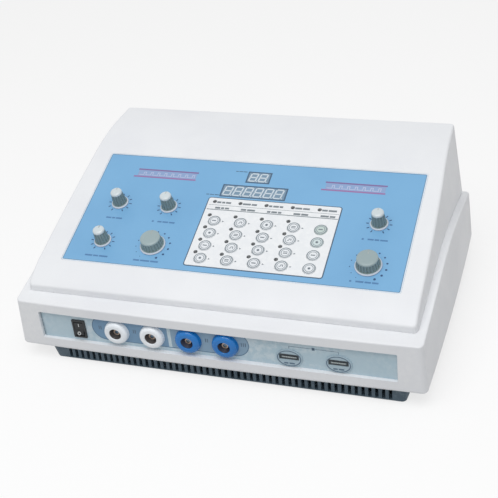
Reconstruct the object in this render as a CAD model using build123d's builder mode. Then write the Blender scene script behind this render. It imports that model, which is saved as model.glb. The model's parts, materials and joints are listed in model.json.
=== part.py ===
from build123d import *

import math
import os

# Desktop electrotherapy (TENS) unit, millimetres, +Z up, the front faces -Y.
# The origin is the centre of the footprint, on the surface that the feet stand on.

# ---------------------------------------------------------------- case sizes
case_width = 400.0  # lower shell across its foot, at its front and rear corners
case_depth = 269.0
shell_height = 52.1  # lower shell, at its front and rear edges
ledge_rise = 19.0  # how far the ledge arches up at the middle of each side
ledge_end_slope = 0.2  # of the ledge's line at the case's front and back
shell_slant = 3.9  # lean of the lower shell's sides, degrees
cover_slant = 6.7  # lean of the cover's sides, degrees
shell_bow = 2.2  # outward bow of the lower shell's sides
front_bow = 2.3  # outward bow of the lower shell's front
cover_bow = 3.0  # outward bow of the cover's sides
shell_corner = 5.5
cover_corner = 4.5
foot_rounding = 3.0  # of the lower shell's foot
ledge_rounding = 1.5
cover_rounding = 2.6
shell_wall = 2.6
cover_wall = 3.0
flange_width = 34.0  # floor flange of the lower shell, round its open bottom
seam_gap = 0.3
side_ledge = 10.6  # from the lower shell's side, measured at its foot, to the cover
front_ledge = 15.0
lip_height = 9.2  # upright lip at the foot of the cover's front
rest_width = 6.0  # rim of the lower shell under the cover's wall

# slope that carries the controls, and the curve behind it
slope_angle = 17.3
slope_start = 42.5  # from the case's front face
slope_start_height = 75.2  # above the lower shell's foot
slope_length = 151.3
crest_radius = 212.0
crest_angle = 1.6

# dark base
foot_drop = 1.2  # how far the rubber feet stand out below the base
foot_radius = 9.0
foot_seat = 1.0
foot_spread = 92.0  # in front of and behind the case's middle
tray_height = 14.5
tray_floor = 2.6
tray_wall = 4.0
tray_half_width = 178.4  # at its top edge
tray_shift = 6.3  # the tray sits a little to the right of the middle
tray_slant = 18.0
tray_inset = 4.5  # behind the case's front face and before its back
tray_corner = 4.5
vent_pitch = 6.22
vent_width = 3.1
vent_sill = 1.0  # left whole along the base's lower edge
vent_count = 52
vent_shift = 7.4  # the row sits to the right of the middle too

# ------------------------------------------------------------ control slope
panel_shift = 2.9  # the printed panel sits this far right of the middle
panel_width = 333.4
panel_length = 145.8
panel_corner = 2.2
pocket_depth = 0.6
overlay_thickness = 0.5
sheet_clearance = 0.15

keypad_left = -40.8
keypad_right = 92.9
keypad_bottom = 8.6
keypad_top = 94.3
keypad_corner = 2.0
keypad_thickness = 0.8
key_left = -27.2
key_pitch = 26.6
key_top_row = 64.8
key_row_pitch = 15.7
key_columns = 5
key_rows = 4
key_radius = 6.2
key_clearance = 0.25
key_stand = 0.7  # above the cover's surface
key_flange = 1.1
key_flange_height = 1.0
key_stem_radius = 2.0
key_stem_length = 2.6
key_rounding = 0.35
key_travel = 0.5
switch_gap = 0.1  # left between a pressed key and its switch
switch_size = 6.0
plunger_radius = 1.75
plunger_height = 1.0

led_radius = 1.5
led_clearance = 0.1
led_left = -6.8  # from the key that the lamp belongs to
led_up = 7.1
header_led_up = 24.7  # from the top row of keys
led_stand = 0.15

knob_far = 132.1
knob_near = 79.1
knob_low = 27.9
knob_high = 78.1
shaft_radius = 3.0
shaft_clearance = 0.04
bushing_radius = 3.5
bushing_height = 2.6  # above the overlay
bushing_clearance = 0.15
pot_radius = 8.5
pot_height = 9.0
nut_radius = 4.9
nut_height = 2.0
nut_room = 1.0  # above the nut, inside the knob
knob_gap = 0.4  # under the knob's skirt
skirt_height = 1.6
small_skirt_radius = 8.6
small_knob_radius = 6.9
small_knob_height = 14.1
small_cap_height = 2.9
small_flutes = 14
large_skirt_radius = 12.6
large_knob_radius = 10.9
large_knob_height = 9.4
large_cap_height = 2.6
large_flutes = 22
flute_radius = 0.85
knob_taper = 1.1  # how much narrower a knob is at its top
cap_gap = 0.05
cap_overhang = 0.1
cap_doming = 0.3  # rounding of a cap's edge, as a share of its height
shaft_cover = 1.0  # material above the shaft's end

window_middle = 1.6
short_window_width = 24.6
short_window_height = 15.2
short_window_up = 125.3
long_window_width = 67.4
long_window_height = 16.4
long_window_up = 105.4
window_thickness = 2.0
window_clearance = 0.15
window_gap = 0.3  # between a window and the display below it
display_margin = 0.5  # how far a display is smaller than its window, on each side
board_drop = 13.0  # from the cover's surface down to the control board
board_thickness = 1.6
board_margin = 14.0
board_bottom = 10.0
board_top = 138.0
post_radius = 3.6
post_margin = 4.0  # from the board's edge
post_columns = (-150.0, -55.0, 112.0, 150.0)

# ------------------------------------------------------------- front recess
recess_half_width = 174.1
recess_low = 11.6
recess_high = 41.6
recess_corner = 1.5
plate_thickness = 2.5
plate_margin = 4.0
rail_thickness = 2.0
rail_height = 4.0
rail_inset = 10.0  # from each end of the recess

socket_left = -94.2
socket_pitch = 36.3
socket_up = 26.9
socket_reach = 3.0  # in front of the case's face
white_socket_radius = 12.4
blue_socket_radius = 12.9
collar_lean = 0.4
collar_wall = 1.8  # straight part of the collar, in front of the plate
collar_doming = 0.22  # how far back the collar's shoulder lies, as a share of its dome
mouth_rim = 2.1
mouth_chamfer = 0.5
socket_mouth_radius = 5.9
socket_mouth_depth = 5.4
barrel_radius = 7.4
barrel_length = 15.0  # behind the plate's front face
barrel_clearance = 0.15
contact_bore_radius = 2.0
contact_radius = 3.1
contact_length = 19.0
contact_setback = 4.2
press_clearance = 0.02  # round contacts, nuts and screw threads
ring_nut_radius = 10.5
ring_nut_height = 3.0

probe_left = 75.4
probe_pitch = 45.6
probe_up = 21.5
probe_half_width = 12.2
probe_half_height = 9.6
probe_reach = 1.4
probe_rounding = 0.5
probe_slot_width = 18.4
probe_slot_height = 6.0
probe_slot_up = 1.6
probe_insert_depth = 10.0
probe_insert_setback = 0.6
probe_clearance = 0.1
probe_slit_width = 14.0
probe_slit_height = 2.0

rocker_x = -134.1
rocker_up = 25.0
bezel_width = 13.7
bezel_height = 20.4
bezel_reach = 1.5
switch_body_depth = 15.0
bezel_rim = 1.9
bezel_corner = 0.8
bezel_rounding = 0.5
rocker_clearance = 0.3
rocker_swing = 20.0
pivot_depth = 4.2  # behind the bezel's face
pivot_radius = 1.0
pivot_length = 0.8
pivot_clearance = 0.05

# --------------------------------------------------------- rear and inside
inlet_x = -120.0
inlet_up = 27.5
inlet_flange_width = 49.0
inlet_flange_height = 23.0
inlet_flange = 1.5
inlet_corner = 3.0
inlet_body_width = 27.4
inlet_body_height = 19.6
inlet_body_depth = 20.0
inlet_cavity_width = 24.0
inlet_cavity_height = 16.2
inlet_cavity_depth = 17.0
inlet_clearance = 0.15
inlet_screw_pitch = 40.0
pin_width = 2.0
pin_height = 4.0
pin_length = 12.0
pin_pitch = 14.0

core_width = 66.0
core_length = 55.0
core_height = 44.0
limb_width = 22.0
core_window = 11.0
core_x = -60.0
core_behind = 70.0  # from the case's back to the core's middle
winding_clearance = 0.3
board_length = 150.0
board_width = 90.0
board_x = 75.0
board_behind = 95.0
capacitor_places = ((-52.0, 30.0), (-30.0, 30.0), (-8.0, 30.0))  # from the board's middle
capacitor_radius = 8.0
output_coil_pitch = 24.0
output_coil_width = 16.0
output_coil_length = 14.0
component_height = 20.0
stand_height = 8.0
stand_radius = 3.5
stand_inset = 5.25  # from the supply board's edges to the middle of a stand
screw_radius = 1.5
screw_head_radius = 2.9
screw_head_height = 1.8
screw_bite = 6.0
case_screw_radius = 2.0
case_head_radius = 3.8
case_head_height = 2.4
case_screw_x = 150.0
case_screw_inset = 26.0  # from the case's front and back faces
column_radius = 5.0
case_screw_bite = 12.0
hole_clearance = 0.2
cut_margin = 1.0  # how far a cut starts and ends outside its wall
block_margin = 10.0  # how far the cover's blocks pass its top and its foot, before they are trimmed

# ------------------------------------------------------------ worked out
shell_z = foot_drop + tray_height
overall_depth = socket_reach + case_depth + inlet_flange + screw_head_height
front_y = socket_reach - overall_depth / 2
back_y = front_y + case_depth
seam_z = shell_z + shell_height
middle_y = (front_y + back_y) / 2
half_case = case_width / 2
panel_plane = Plane(
    origin=(panel_shift, front_y + slope_start, shell_z + slope_start_height),
    x_dir=(1, 0, 0),
    z_dir=(0, -math.sin(math.radians(slope_angle)), math.cos(math.radians(slope_angle))),
)
plate_y = front_y + shell_wall  # front face of the recessed plate
front_end = front_y - front_bow - cut_margin  # clear of the bowed front
floor_z = foot_drop + tray_floor
small_knob_places = [
    (-knob_far, knob_high),
    (-knob_near, knob_high),
    (-knob_far, knob_low),
    (knob_far, knob_high),
]
large_knob_places = [(-knob_near, knob_low), (knob_far, knob_low)]
knob_places = small_knob_places + large_knob_places
key_places = [
    (key_left + column * key_pitch, key_top_row - row * key_row_pitch)
    for row in range(key_rows)
    for column in range(key_columns)
]
lamp_keys = [place for place in key_places if place[0] < key_left + (key_columns - 1.5) * key_pitch]
led_places = [(x + led_left, y + led_up) for x, y in lamp_keys]
led_places += [
    (key_left + column * key_pitch + led_left, key_top_row + header_led_up)
    for column in range(key_columns)
]
windows = [
    (window_middle, short_window_up, short_window_width, short_window_height),
    (window_middle, long_window_up, long_window_width, long_window_height),
]
board_posts = [(x, y) for x in post_columns for y in (board_bottom + post_margin, board_top - post_margin)]
case_screw_places = [
    (x, y)
    for x in (-case_screw_x, case_screw_x)
    for y in (front_y + case_screw_inset, back_y - case_screw_inset)
]
socket_places = [(socket_left + number * socket_pitch, shell_z + socket_up) for number in range(4)]
probe_places = [(probe_left + number * probe_pitch, shell_z + probe_up) for number in range(2)]
inlet_z = shell_z + inlet_up
core_y = back_y - core_behind
supply_y = back_y - board_behind
foot_places = [
    (x, y)
    for x in (-case_screw_x, case_screw_x)
    for y in (middle_y - foot_spread, middle_y + foot_spread)
]

os.makedirs("parts", exist_ok=True)


def save(part, name):
    part.label = name
    export_step(part, f"parts/{name}.step")


# Plan of a case half: straight back, bowed sides, straight or bowed front, rounded corners.
def draw_plan(half_width, front, back, bow, corner, forward=0):
    middle = (front + back) / 2
    with BuildLine() as outline:
        right = ThreePointArc((half_width, front), (half_width + bow, middle), (half_width, back))
        rear = Line(right @ 1, (-half_width, back))
        left = ThreePointArc(rear @ 1, (-half_width - bow, middle), (-half_width, front))
        if forward:
            ThreePointArc(left @ 1, (0, front - forward), right @ 0)
        else:
            Line(left @ 1, right @ 0)
    make_face(outline.edges())
    fillet(vertices(), corner)


# Solid between two plans whose sides lean in by slant as they go up.
def leaning_block(half_width, slant, base_z, front, back, bow, corner, low_z, high_z, forward=0):
    lean = math.tan(math.radians(slant))
    plans = []
    for z in (low_z, high_z):
        with BuildSketch(Plane.XY.offset(z)) as plan:
            draw_plan(half_width - lean * (z - base_z), front, back, bow, corner, forward)
        plans.append(plan.sketch.face())
    with BuildPart() as block:
        loft(plans, ruled=True)
    return block.part


# The ledge's line in side view, from behind the case to its front, dropped by drop.
def draw_ledge(drop):
    low = seam_z - drop
    points = [
        (back_y + cut_margin, low - cut_margin * ledge_end_slope),
        (back_y - case_depth * 0.2, low + ledge_rise * 0.6),
        (middle_y, low + ledge_rise),
        (front_y + case_depth * 0.2, low + ledge_rise * 0.5),
        (front_end, low - (front_y - front_end) * ledge_end_slope),
    ]
    return Spline(*points)


# Side view of the cover's top from its front lip to just behind it, moved inwards by inset.
def top_points(inset):
    lip = (front_y + front_ledge, seam_z + lip_height)
    start = (front_y + slope_start, shell_z + slope_start_height)
    slope = math.radians(slope_angle)
    crest = math.radians(crest_angle)
    chord = math.atan2(start[1] - lip[1], start[0] - lip[0])
    end = (start[0] + slope_length * math.cos(slope), start[1] + slope_length * math.sin(slope))
    top = (
        end[0] + crest_radius * (math.sin(slope) - math.sin(crest)),
        end[1] + crest_radius * (math.cos(crest) - math.cos(slope)),
    )
    back = (back_y + cut_margin, top[1] + (back_y + cut_margin - top[0]) * math.tan(crest))
    moved = []
    for (y, z), angle in ((lip, 2 * chord - slope), (start, slope), (end, slope), (top, crest)):
        moved.append((y + inset * math.sin(angle), z - inset * math.cos(angle)))
    moved.append((back[0] - inset, back[1] - inset))
    return moved


def draw_top(inset):
    lip, start, end, top, back = top_points(inset)
    slope = math.radians(slope_angle)
    downhill = (-math.cos(slope), -math.sin(slope))
    uphill = (math.cos(slope), math.sin(slope))
    TangentArc(start, lip, tangent=downhill)
    Line(start, end)
    TangentArc(end, top, tangent=uphill)
    Line(top, back)
    return lip, back


# ------------------------------------------------------------- lower shell
with BuildPart() as shell_profile:
    with BuildSketch(Plane.YZ.offset(-case_width)):
        with BuildLine():
            ledge = draw_ledge(0)
            Polyline(
                ledge @ 1,
                (front_end, shell_z - cut_margin),
                (back_y + cut_margin, shell_z - cut_margin),
                ledge @ 0,
            )
        make_face()
    extrude(amount=case_width * 2)

with BuildPart() as shell_core_profile:
    with BuildSketch(Plane.YZ.offset(-case_width)):
        with BuildLine():
            ledge = draw_ledge(shell_wall)
            Polyline(
                ledge @ 1,
                (front_end, shell_z + shell_wall),
                (back_y + cut_margin, shell_z + shell_wall),
                ledge @ 0,
            )
        make_face()
    extrude(amount=case_width * 2)

shell_block = leaning_block(
    half_case, shell_slant, shell_z, front_y, back_y, shell_bow, shell_corner,
    shell_z, seam_z + ledge_rise * 2, front_bow,
)
shell_core = leaning_block(
    half_case - shell_wall, shell_slant, shell_z, front_y + shell_wall, back_y - shell_wall,
    shell_bow, shell_corner - shell_wall, shell_z, seam_z + ledge_rise * 2,
)
rest_inset = side_ledge + rest_width

with BuildPart() as shell_space:
    add(shell_core)
    add(shell_core_profile.part, mode=Mode.INTERSECT)

with BuildPart() as lower_shell:
    add(shell_block)
    add(shell_profile.part, mode=Mode.INTERSECT)
    ledge_face = faces().sort_by(Axis.Z)[-1]
    fillet(ledge_face.edges(), ledge_rounding)
    fillet(faces().sort_by(Axis.Z)[0].edges(), foot_rounding)
    add(shell_space.part, mode=Mode.SUBTRACT)
    with BuildSketch(Plane.XY.offset(seam_z - shell_wall * 2)):
        draw_plan(
            half_case - rest_inset, front_y + front_ledge + rest_width, back_y - rest_width,
            shell_bow, cover_corner,
        )
    extrude(amount=ledge_rise * 3, mode=Mode.SUBTRACT)
    with BuildSketch(Plane.XY.offset(shell_z)):
        with Locations((0, middle_y)):
            RectangleRounded(case_width - flange_width * 2, case_depth - flange_width * 2, shell_corner)
    extrude(amount=shell_wall, mode=Mode.SUBTRACT)
    # opening for the recessed plate
    with BuildSketch(Plane.XZ.offset(-front_y - shell_wall - cut_margin)):
        with Locations((0, shell_z + (recess_low + recess_high) / 2)):
            RectangleRounded(recess_half_width * 2, recess_high - recess_low, recess_corner)
    extrude(amount=shell_wall + front_bow + cut_margin * 2, mode=Mode.SUBTRACT)
    # rail that holds the foot of the plate
    with BuildSketch(Plane.XY.offset(shell_z + shell_wall)):
        with Locations((0, plate_y + plate_thickness + rail_thickness / 2)):
            Rectangle((recess_half_width - rail_inset) * 2, rail_thickness)
    extrude(amount=rail_height)
    # hole and screw holes for the mains inlet
    with BuildSketch(Plane.XZ.offset(-back_y - cut_margin)):
        with Locations((inlet_x, inlet_z)):
            Rectangle(inlet_body_width + inlet_clearance * 2, inlet_body_height + inlet_clearance * 2)
            with GridLocations(inlet_screw_pitch, 0, 2, 1):
                Circle(screw_radius + hole_clearance)
    extrude(amount=shell_wall + cut_margin * 2, mode=Mode.SUBTRACT)
    # case screws pass the floor flange
    with BuildSketch(Plane.XY.offset(shell_z)):
        with Locations(*case_screw_places):
            Circle(case_screw_radius + hole_clearance)
    extrude(amount=shell_wall, mode=Mode.SUBTRACT)
save(lower_shell.part, "lower_shell")

# --------------------------------------------------------------- top cover
with BuildPart() as cover_profile:
    with BuildSketch(Plane.YZ.offset(-case_width)):
        with BuildLine():
            lip_point, back_point = draw_top(0)
            ledge = draw_ledge(-seam_gap)
            Line(ledge @ 1, lip_point)
            Line(ledge @ 0, back_point)
        make_face()
    extrude(amount=case_width * 2)

with BuildPart() as cover_core_profile:
    with BuildSketch(Plane.YZ.offset(-case_width)):
        with BuildLine():
            lip_point, back_point = draw_top(cover_wall)
            Polyline(
                lip_point,
                (lip_point[0], shell_z),
                (back_point[0], shell_z),
                back_point,
            )
        make_face()
    extrude(amount=case_width * 2)

top_z = top_points(0)[-1][1]
cover_block = leaning_block(
    half_case - side_ledge, cover_slant, seam_z, front_y + front_ledge, back_y, cover_bow, cover_corner,
    seam_z - block_margin, top_z + block_margin,
)
cover_core_block = leaning_block(
    half_case - side_ledge - cover_wall, cover_slant, seam_z, front_y + front_ledge + cover_wall,
    back_y - cover_wall, cover_bow, cover_corner - cover_wall, shell_z, top_z + block_margin,
)

with BuildPart() as cover_core:
    add(cover_core_block)
    add(cover_core_profile.part, mode=Mode.INTERSECT)

# screw columns hang from the cover's inside down to the lower shell's flange
with BuildPart() as cover_columns:
    with BuildSketch(Plane.XY.offset(shell_z + shell_wall)):
        with Locations(*case_screw_places):
            Circle(column_radius)
    extrude(amount=top_z)
    add(cover_core.part, mode=Mode.INTERSECT)
    with BuildSketch(Plane.XY.offset(shell_z + shell_wall)):
        with Locations(*case_screw_places):
            Circle(case_screw_radius)
    extrude(amount=case_screw_bite + cut_margin, mode=Mode.SUBTRACT)

with BuildPart() as top_cover:
    add(cover_block)
    add(cover_profile.part, mode=Mode.INTERSECT)
    top_edges = faces().filter_by(lambda face: face.normal_at().Z > 0.3).edges()
    rim_edges = [edge for edge in top_edges if sum(edge.is_same(other) for other in top_edges) == 1]
    fillet(rim_edges, cover_rounding)
    add(cover_core.part, mode=Mode.SUBTRACT)
    add(cover_columns.part)
    # shallow pocket for the printed panel
    with BuildSketch(panel_plane.offset(-pocket_depth)):
        with Locations((0, panel_length / 2)):
            RectangleRounded(
                panel_width + sheet_clearance * 2, panel_length + sheet_clearance * 2,
                panel_corner + sheet_clearance,
            )
    extrude(amount=pocket_depth * 2, mode=Mode.SUBTRACT)
    # holes for keys, lamps, controls and displays
    with BuildSketch(panel_plane):
        with Locations(*key_places):
            Circle(key_radius + key_clearance)
        with Locations(*led_places):
            Circle(led_radius + led_clearance)
        with Locations(*knob_places):
            Circle(bushing_radius + bushing_clearance)
        for x, y, width, height in windows:
            with Locations((x, y)):
                Rectangle(width + window_clearance * 2, height + window_clearance * 2)
    extrude(amount=-cover_wall - cut_margin, mode=Mode.SUBTRACT)
    # posts that carry the control board
    with BuildSketch(panel_plane.offset(-cover_wall)):
        with Locations(*board_posts):
            Circle(post_radius)
    extrude(amount=cover_wall - board_drop)
    with BuildSketch(panel_plane.offset(-board_drop)):
        with Locations(*board_posts):
            Circle(screw_radius)
    extrude(amount=screw_bite, mode=Mode.SUBTRACT)
save(top_cover.part, "top_cover")

# -------------------------------------------------------------- dark base
tray_front = front_y + tray_inset
tray_back = back_y - tray_inset
tray_lean = math.tan(math.radians(tray_slant))


def tray_block(inset, low_z):
    plans = []
    for z in (low_z, shell_z):
        half = tray_half_width - inset - tray_lean * (shell_z - z)
        with BuildSketch(Plane.XY.offset(z)) as plan:
            with Locations((tray_shift, middle_y)):
                RectangleRounded(half * 2, tray_back - tray_front - inset * 2, tray_corner - inset)
        plans.append(plan.sketch.face())
    with BuildPart() as block:
        loft(plans, ruled=True)
    return block.part


tray_space = tray_block(tray_wall, floor_z)
with BuildPart() as base_tray:
    add(tray_block(0, foot_drop))
    add(tray_space, mode=Mode.SUBTRACT)
    # columns for the case screws and stands for the transformer and the supply board
    with BuildSketch(Plane.XY.offset(floor_z)):
        with Locations(*case_screw_places):
            Circle(column_radius)
    extrude(amount=shell_z - floor_z)
    with BuildSketch(Plane.XY.offset(floor_z)):
        with Locations((core_x, core_y)):
            with GridLocations(core_width - limb_width / 2, 0, 2, 1):
                Rectangle(limb_width / 2, core_length)
        with Locations((board_x, supply_y)):
            with GridLocations(board_length - stand_inset * 2, board_width - stand_inset * 2, 2, 2):
                Circle(stand_radius)
    extrude(amount=stand_height)
    with BuildSketch(Plane.XY.offset(floor_z + stand_height)):
        with Locations((board_x, supply_y)):
            with GridLocations(board_length - stand_inset * 2, board_width - stand_inset * 2, 2, 2):
                Circle(screw_radius)
    extrude(amount=-screw_bite, mode=Mode.SUBTRACT)
    with BuildSketch(Plane.XY.offset(foot_drop)):
        with Locations(*case_screw_places):
            Circle(case_screw_radius + hole_clearance)
    extrude(amount=tray_height, mode=Mode.SUBTRACT)
    with BuildSketch(Plane.XY.offset(foot_drop)):
        with Locations(*case_screw_places):
            Circle(case_head_radius + hole_clearance)
    extrude(amount=case_head_height, mode=Mode.SUBTRACT)
    with BuildSketch(Plane.XY.offset(foot_drop)):
        with Locations(*foot_places):
            Circle(foot_radius)
    extrude(amount=foot_seat, mode=Mode.SUBTRACT)
    # upright vents through the front and rear walls, open at the top
    for wall_end in (tray_front + tray_wall, tray_back):
        with BuildSketch(Plane.XZ.offset(-wall_end - cut_margin)):
            with Locations((vent_shift, foot_drop + vent_sill)):
                with GridLocations(vent_pitch, 0, vent_count, 1):
                    Rectangle(vent_width, tray_height, align=(Align.CENTER, Align.MIN))
        extrude(amount=tray_wall + cut_margin * 2, mode=Mode.SUBTRACT)
save(base_tray.part, "base_tray")

with BuildPart() as rubber_feet:
    with BuildSketch(Plane.XY):
        with Locations(*foot_places):
            Circle(foot_radius)
    extrude(amount=foot_drop + foot_seat)
    fillet(faces().sort_by(Axis.Z)[:4].edges(), foot_seat / 2)
save(rubber_feet.part, "rubber_feet")

# ------------------------------------------------------------ front plate
with BuildPart() as front_panel:
    with BuildSketch(Plane.XZ.offset(-plate_y)):
        with Locations((0, shell_z + (recess_low + recess_high) / 2)):
            Rectangle((recess_half_width + plate_margin) * 2, recess_high - recess_low + plate_margin * 2)
        with Locations(*socket_places):
            Circle(barrel_radius + barrel_clearance, mode=Mode.SUBTRACT)
        with Locations(*probe_places):
            with Locations((0, probe_slot_up)):
                Rectangle(
                    probe_slot_width + probe_clearance * 2, probe_slot_height + probe_clearance * 2,
                    mode=Mode.SUBTRACT,
                )
        with Locations((rocker_x, shell_z + rocker_up)):
            Rectangle(
                bezel_width - bezel_rim + hole_clearance, bezel_height - bezel_rim + hole_clearance,
                mode=Mode.SUBTRACT,
            )
    extrude(amount=-plate_thickness)
save(front_panel.part, "front_panel")

# -------------------------------------------------------------- sockets
barrel_y = plate_y + barrel_length
mouth_y = front_y - socket_reach


# Body of an output socket: a domed collar in front of the plate and a barrel through it.
def socket_body(x, z, radius):
    with BuildPart() as body:
        with BuildSketch(Plane((x, 0, z), x_dir=(1, 0, 0), z_dir=(0, 0, 1))):
            with BuildLine():
                rim = Line((radius, plate_y), (radius - collar_lean, plate_y - collar_wall))
                flat_radius = socket_mouth_radius + mouth_rim
                shoulder_y = mouth_y + (plate_y - collar_wall - mouth_y) * collar_doming
                shoulder = ((radius + flat_radius) / 2 + mouth_chamfer, shoulder_y)
                dome = ThreePointArc(rim @ 1, shoulder, (flat_radius, mouth_y))
                Polyline(
                    dome @ 1,
                    (socket_mouth_radius + mouth_chamfer, mouth_y),
                    (socket_mouth_radius, mouth_y + mouth_chamfer),
                    (socket_mouth_radius, mouth_y + socket_mouth_depth),
                    (contact_radius + press_clearance, mouth_y + socket_mouth_depth),
                    (contact_radius + press_clearance, barrel_y),
                    (barrel_radius, barrel_y),
                    (barrel_radius, plate_y),
                    (radius, plate_y),
                )
            make_face()
        revolve(axis=Axis((x, 0, z), (0, 1, 0)))
    return body.part


for name, radius, places in (
    ("white_sockets", white_socket_radius, socket_places[:2]),
    ("blue_sockets", blue_socket_radius, socket_places[2:]),
):
    with BuildPart() as sockets:
        for x, z in places:
            add(socket_body(x, z, radius))
    save(sockets.part, name)

with BuildPart() as socket_contacts:
    with BuildSketch(Plane.XZ.offset(-mouth_y - contact_setback)):
        with Locations(*socket_places):
            Circle(contact_radius)
            Circle(contact_bore_radius, mode=Mode.SUBTRACT)
    extrude(amount=-contact_length)
save(socket_contacts.part, "socket_contacts")

with BuildPart() as socket_nuts:
    with BuildSketch(Plane.XZ.offset(-plate_y - plate_thickness)):
        with Locations(*socket_places):
            RegularPolygon(ring_nut_radius, 6)
            Circle(barrel_radius + press_clearance, mode=Mode.SUBTRACT)
    extrude(amount=-ring_nut_height)
save(socket_nuts.part, "socket_nuts")

# --------------------------------------------------------- probe sockets
with BuildPart() as probe_socket_shells:
    with BuildSketch(Plane.XZ.offset(-plate_y)):
        with Locations(*probe_places):
            Ellipse(probe_half_width, probe_half_height)
            with Locations((0, probe_slot_up)):
                Rectangle(
                    probe_slot_width + probe_clearance * 2, probe_slot_height + probe_clearance * 2,
                    mode=Mode.SUBTRACT,
                )
    extrude(amount=probe_reach)
    front_edges = faces().filter_by(Axis.Y).sort_by(Axis.Y)[:2].edges()
    fillet(front_edges.filter_by(GeomType.ELLIPSE), probe_rounding)
save(probe_socket_shells.part, "probe_socket_shells")

with BuildPart() as probe_socket_inserts:
    with BuildSketch(Plane.XZ.offset(-plate_y + probe_reach - probe_insert_setback)):
        with Locations(*probe_places):
            with Locations((0, probe_slot_up)):
                Rectangle(probe_slot_width, probe_slot_height)
    extrude(amount=-probe_insert_depth)
    with BuildSketch(Plane.XZ.offset(-plate_y + probe_reach - probe_insert_setback)):
        with Locations(*probe_places):
            with Locations((0, probe_slot_up)):
                Rectangle(probe_slit_width, probe_slit_height)
    extrude(amount=-probe_insert_depth / 2, mode=Mode.SUBTRACT)
save(probe_socket_inserts.part, "probe_socket_inserts")

# ---------------------------------------------------------- power switch
bezel_y = plate_y - bezel_reach
pivot_y = bezel_y + pivot_depth
pivot_z = shell_z + rocker_up
opening_width = bezel_width - bezel_rim * 2
opening_height = bezel_height - bezel_rim * 2
rocker_reach = opening_height / 2 - rocker_clearance
rocker_width = opening_width - rocker_clearance * 2

with BuildPart() as switch_frame:
    with BuildSketch(Plane.XZ.offset(-bezel_y)):
        with Locations((rocker_x, pivot_z)):
            RectangleRounded(bezel_width, bezel_height, bezel_corner)
    extrude(amount=-bezel_reach)
    fillet(faces().sort_by(Axis.Y)[0].edges(), bezel_rounding)
    with BuildSketch(Plane.XZ.offset(-plate_y)):
        with Locations((rocker_x, pivot_z)):
            Rectangle(bezel_width - bezel_rim, bezel_height - bezel_rim)
    extrude(amount=-switch_body_depth)
    with BuildSketch(Plane.XZ.offset(-bezel_y)):
        with Locations((rocker_x, pivot_z)):
            Rectangle(opening_width, opening_height)
    extrude(amount=-pivot_depth - rocker_reach - rocker_clearance, mode=Mode.SUBTRACT)
    with BuildSketch(Plane.YZ.offset(rocker_x - opening_width / 2 - pivot_length - pivot_clearance)):
        with Locations((pivot_y, pivot_z)):
            Circle(pivot_radius + pivot_clearance)
    extrude(amount=opening_width + (pivot_length + pivot_clearance) * 2, mode=Mode.SUBTRACT)
save(switch_frame.part, "switch_frame")

# The rocker rests with its upper half pressed in, flush with the bezel.
with BuildPart() as switch_rocker:
    with BuildSketch(Plane.YZ.offset(rocker_x - rocker_width / 2)):
        with Locations((pivot_y, pivot_z)):
            Circle(rocker_reach)
        with BuildLine():
            valley = pivot_y - pivot_depth + rocker_clearance
            cut_reach = rocker_reach + cut_margin
            Polyline(
                (valley, pivot_z + cut_reach),
                (valley, pivot_z),
                (valley - cut_reach * math.tan(math.radians(rocker_swing)), pivot_z - cut_reach),
                (valley - rocker_reach * 2, pivot_z - cut_reach),
                (valley - rocker_reach * 2, pivot_z + cut_reach),
                close=True,
            )
        make_face(mode=Mode.SUBTRACT)
        with Locations((pivot_y + rocker_reach * 0.8, pivot_z)):
            Rectangle(rocker_reach * 0.8, rocker_reach * 3, mode=Mode.SUBTRACT)
    extrude(amount=rocker_width)
    with BuildSketch(Plane.YZ.offset(rocker_x - opening_width / 2 - pivot_length)):
        with Locations((pivot_y, pivot_z)):
            Circle(pivot_radius)
    extrude(amount=opening_width + pivot_length * 2)
save(switch_rocker.part, "switch_rocker")

# ----------------------------------------------------------- control panel
keypad_width = keypad_right - keypad_left
keypad_length = keypad_top - keypad_bottom
keypad_middle = ((keypad_left + keypad_right) / 2, (keypad_bottom + keypad_top) / 2)
sheet_z = -pocket_depth

with BuildPart() as control_overlay:
    with BuildSketch(panel_plane.offset(sheet_z)):
        with Locations((0, panel_length / 2)):
            RectangleRounded(panel_width, panel_length, panel_corner)
        with Locations(keypad_middle):
            RectangleRounded(
                keypad_width + sheet_clearance * 2, keypad_length + sheet_clearance * 2,
                keypad_corner + sheet_clearance, mode=Mode.SUBTRACT,
            )
        with Locations(*knob_places):
            Circle(bushing_radius + bushing_clearance, mode=Mode.SUBTRACT)
        for x, y, width, height in windows:
            with Locations((x, y)):
                Rectangle(width + window_clearance * 2, height + window_clearance * 2, mode=Mode.SUBTRACT)
    extrude(amount=overlay_thickness)
save(control_overlay.part, "control_overlay")

with BuildPart() as keypad_membrane:
    with BuildSketch(panel_plane.offset(sheet_z)):
        with Locations(keypad_middle):
            RectangleRounded(keypad_width, keypad_length, keypad_corner)
        with Locations(*key_places):
            Circle(key_radius + key_clearance, mode=Mode.SUBTRACT)
        with Locations(*led_places):
            Circle(led_radius + led_clearance, mode=Mode.SUBTRACT)
    extrude(amount=keypad_thickness)
save(keypad_membrane.part, "keypad_membrane")

flange_top = -cover_wall - sheet_clearance
stem_top = flange_top - key_flange_height
for number, (x, y) in enumerate(key_places, start=1):
    with BuildPart() as key:
        with BuildSketch(panel_plane.offset(flange_top)):
            with Locations((x, y)):
                Circle(key_radius)
        extrude(amount=key_stand - flange_top)
        fillet(faces().sort_by(Axis.Z)[-1].edges(), key_rounding)
        with BuildSketch(panel_plane.offset(flange_top)):
            with Locations((x, y)):
                Circle(key_radius + key_flange)
        extrude(amount=-key_flange_height)
        with BuildSketch(panel_plane.offset(stem_top)):
            with Locations((x, y)):
                Circle(key_stem_radius)
        extrude(amount=-key_stem_length)
    save(key.part, f"key_{number:02d}")

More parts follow.
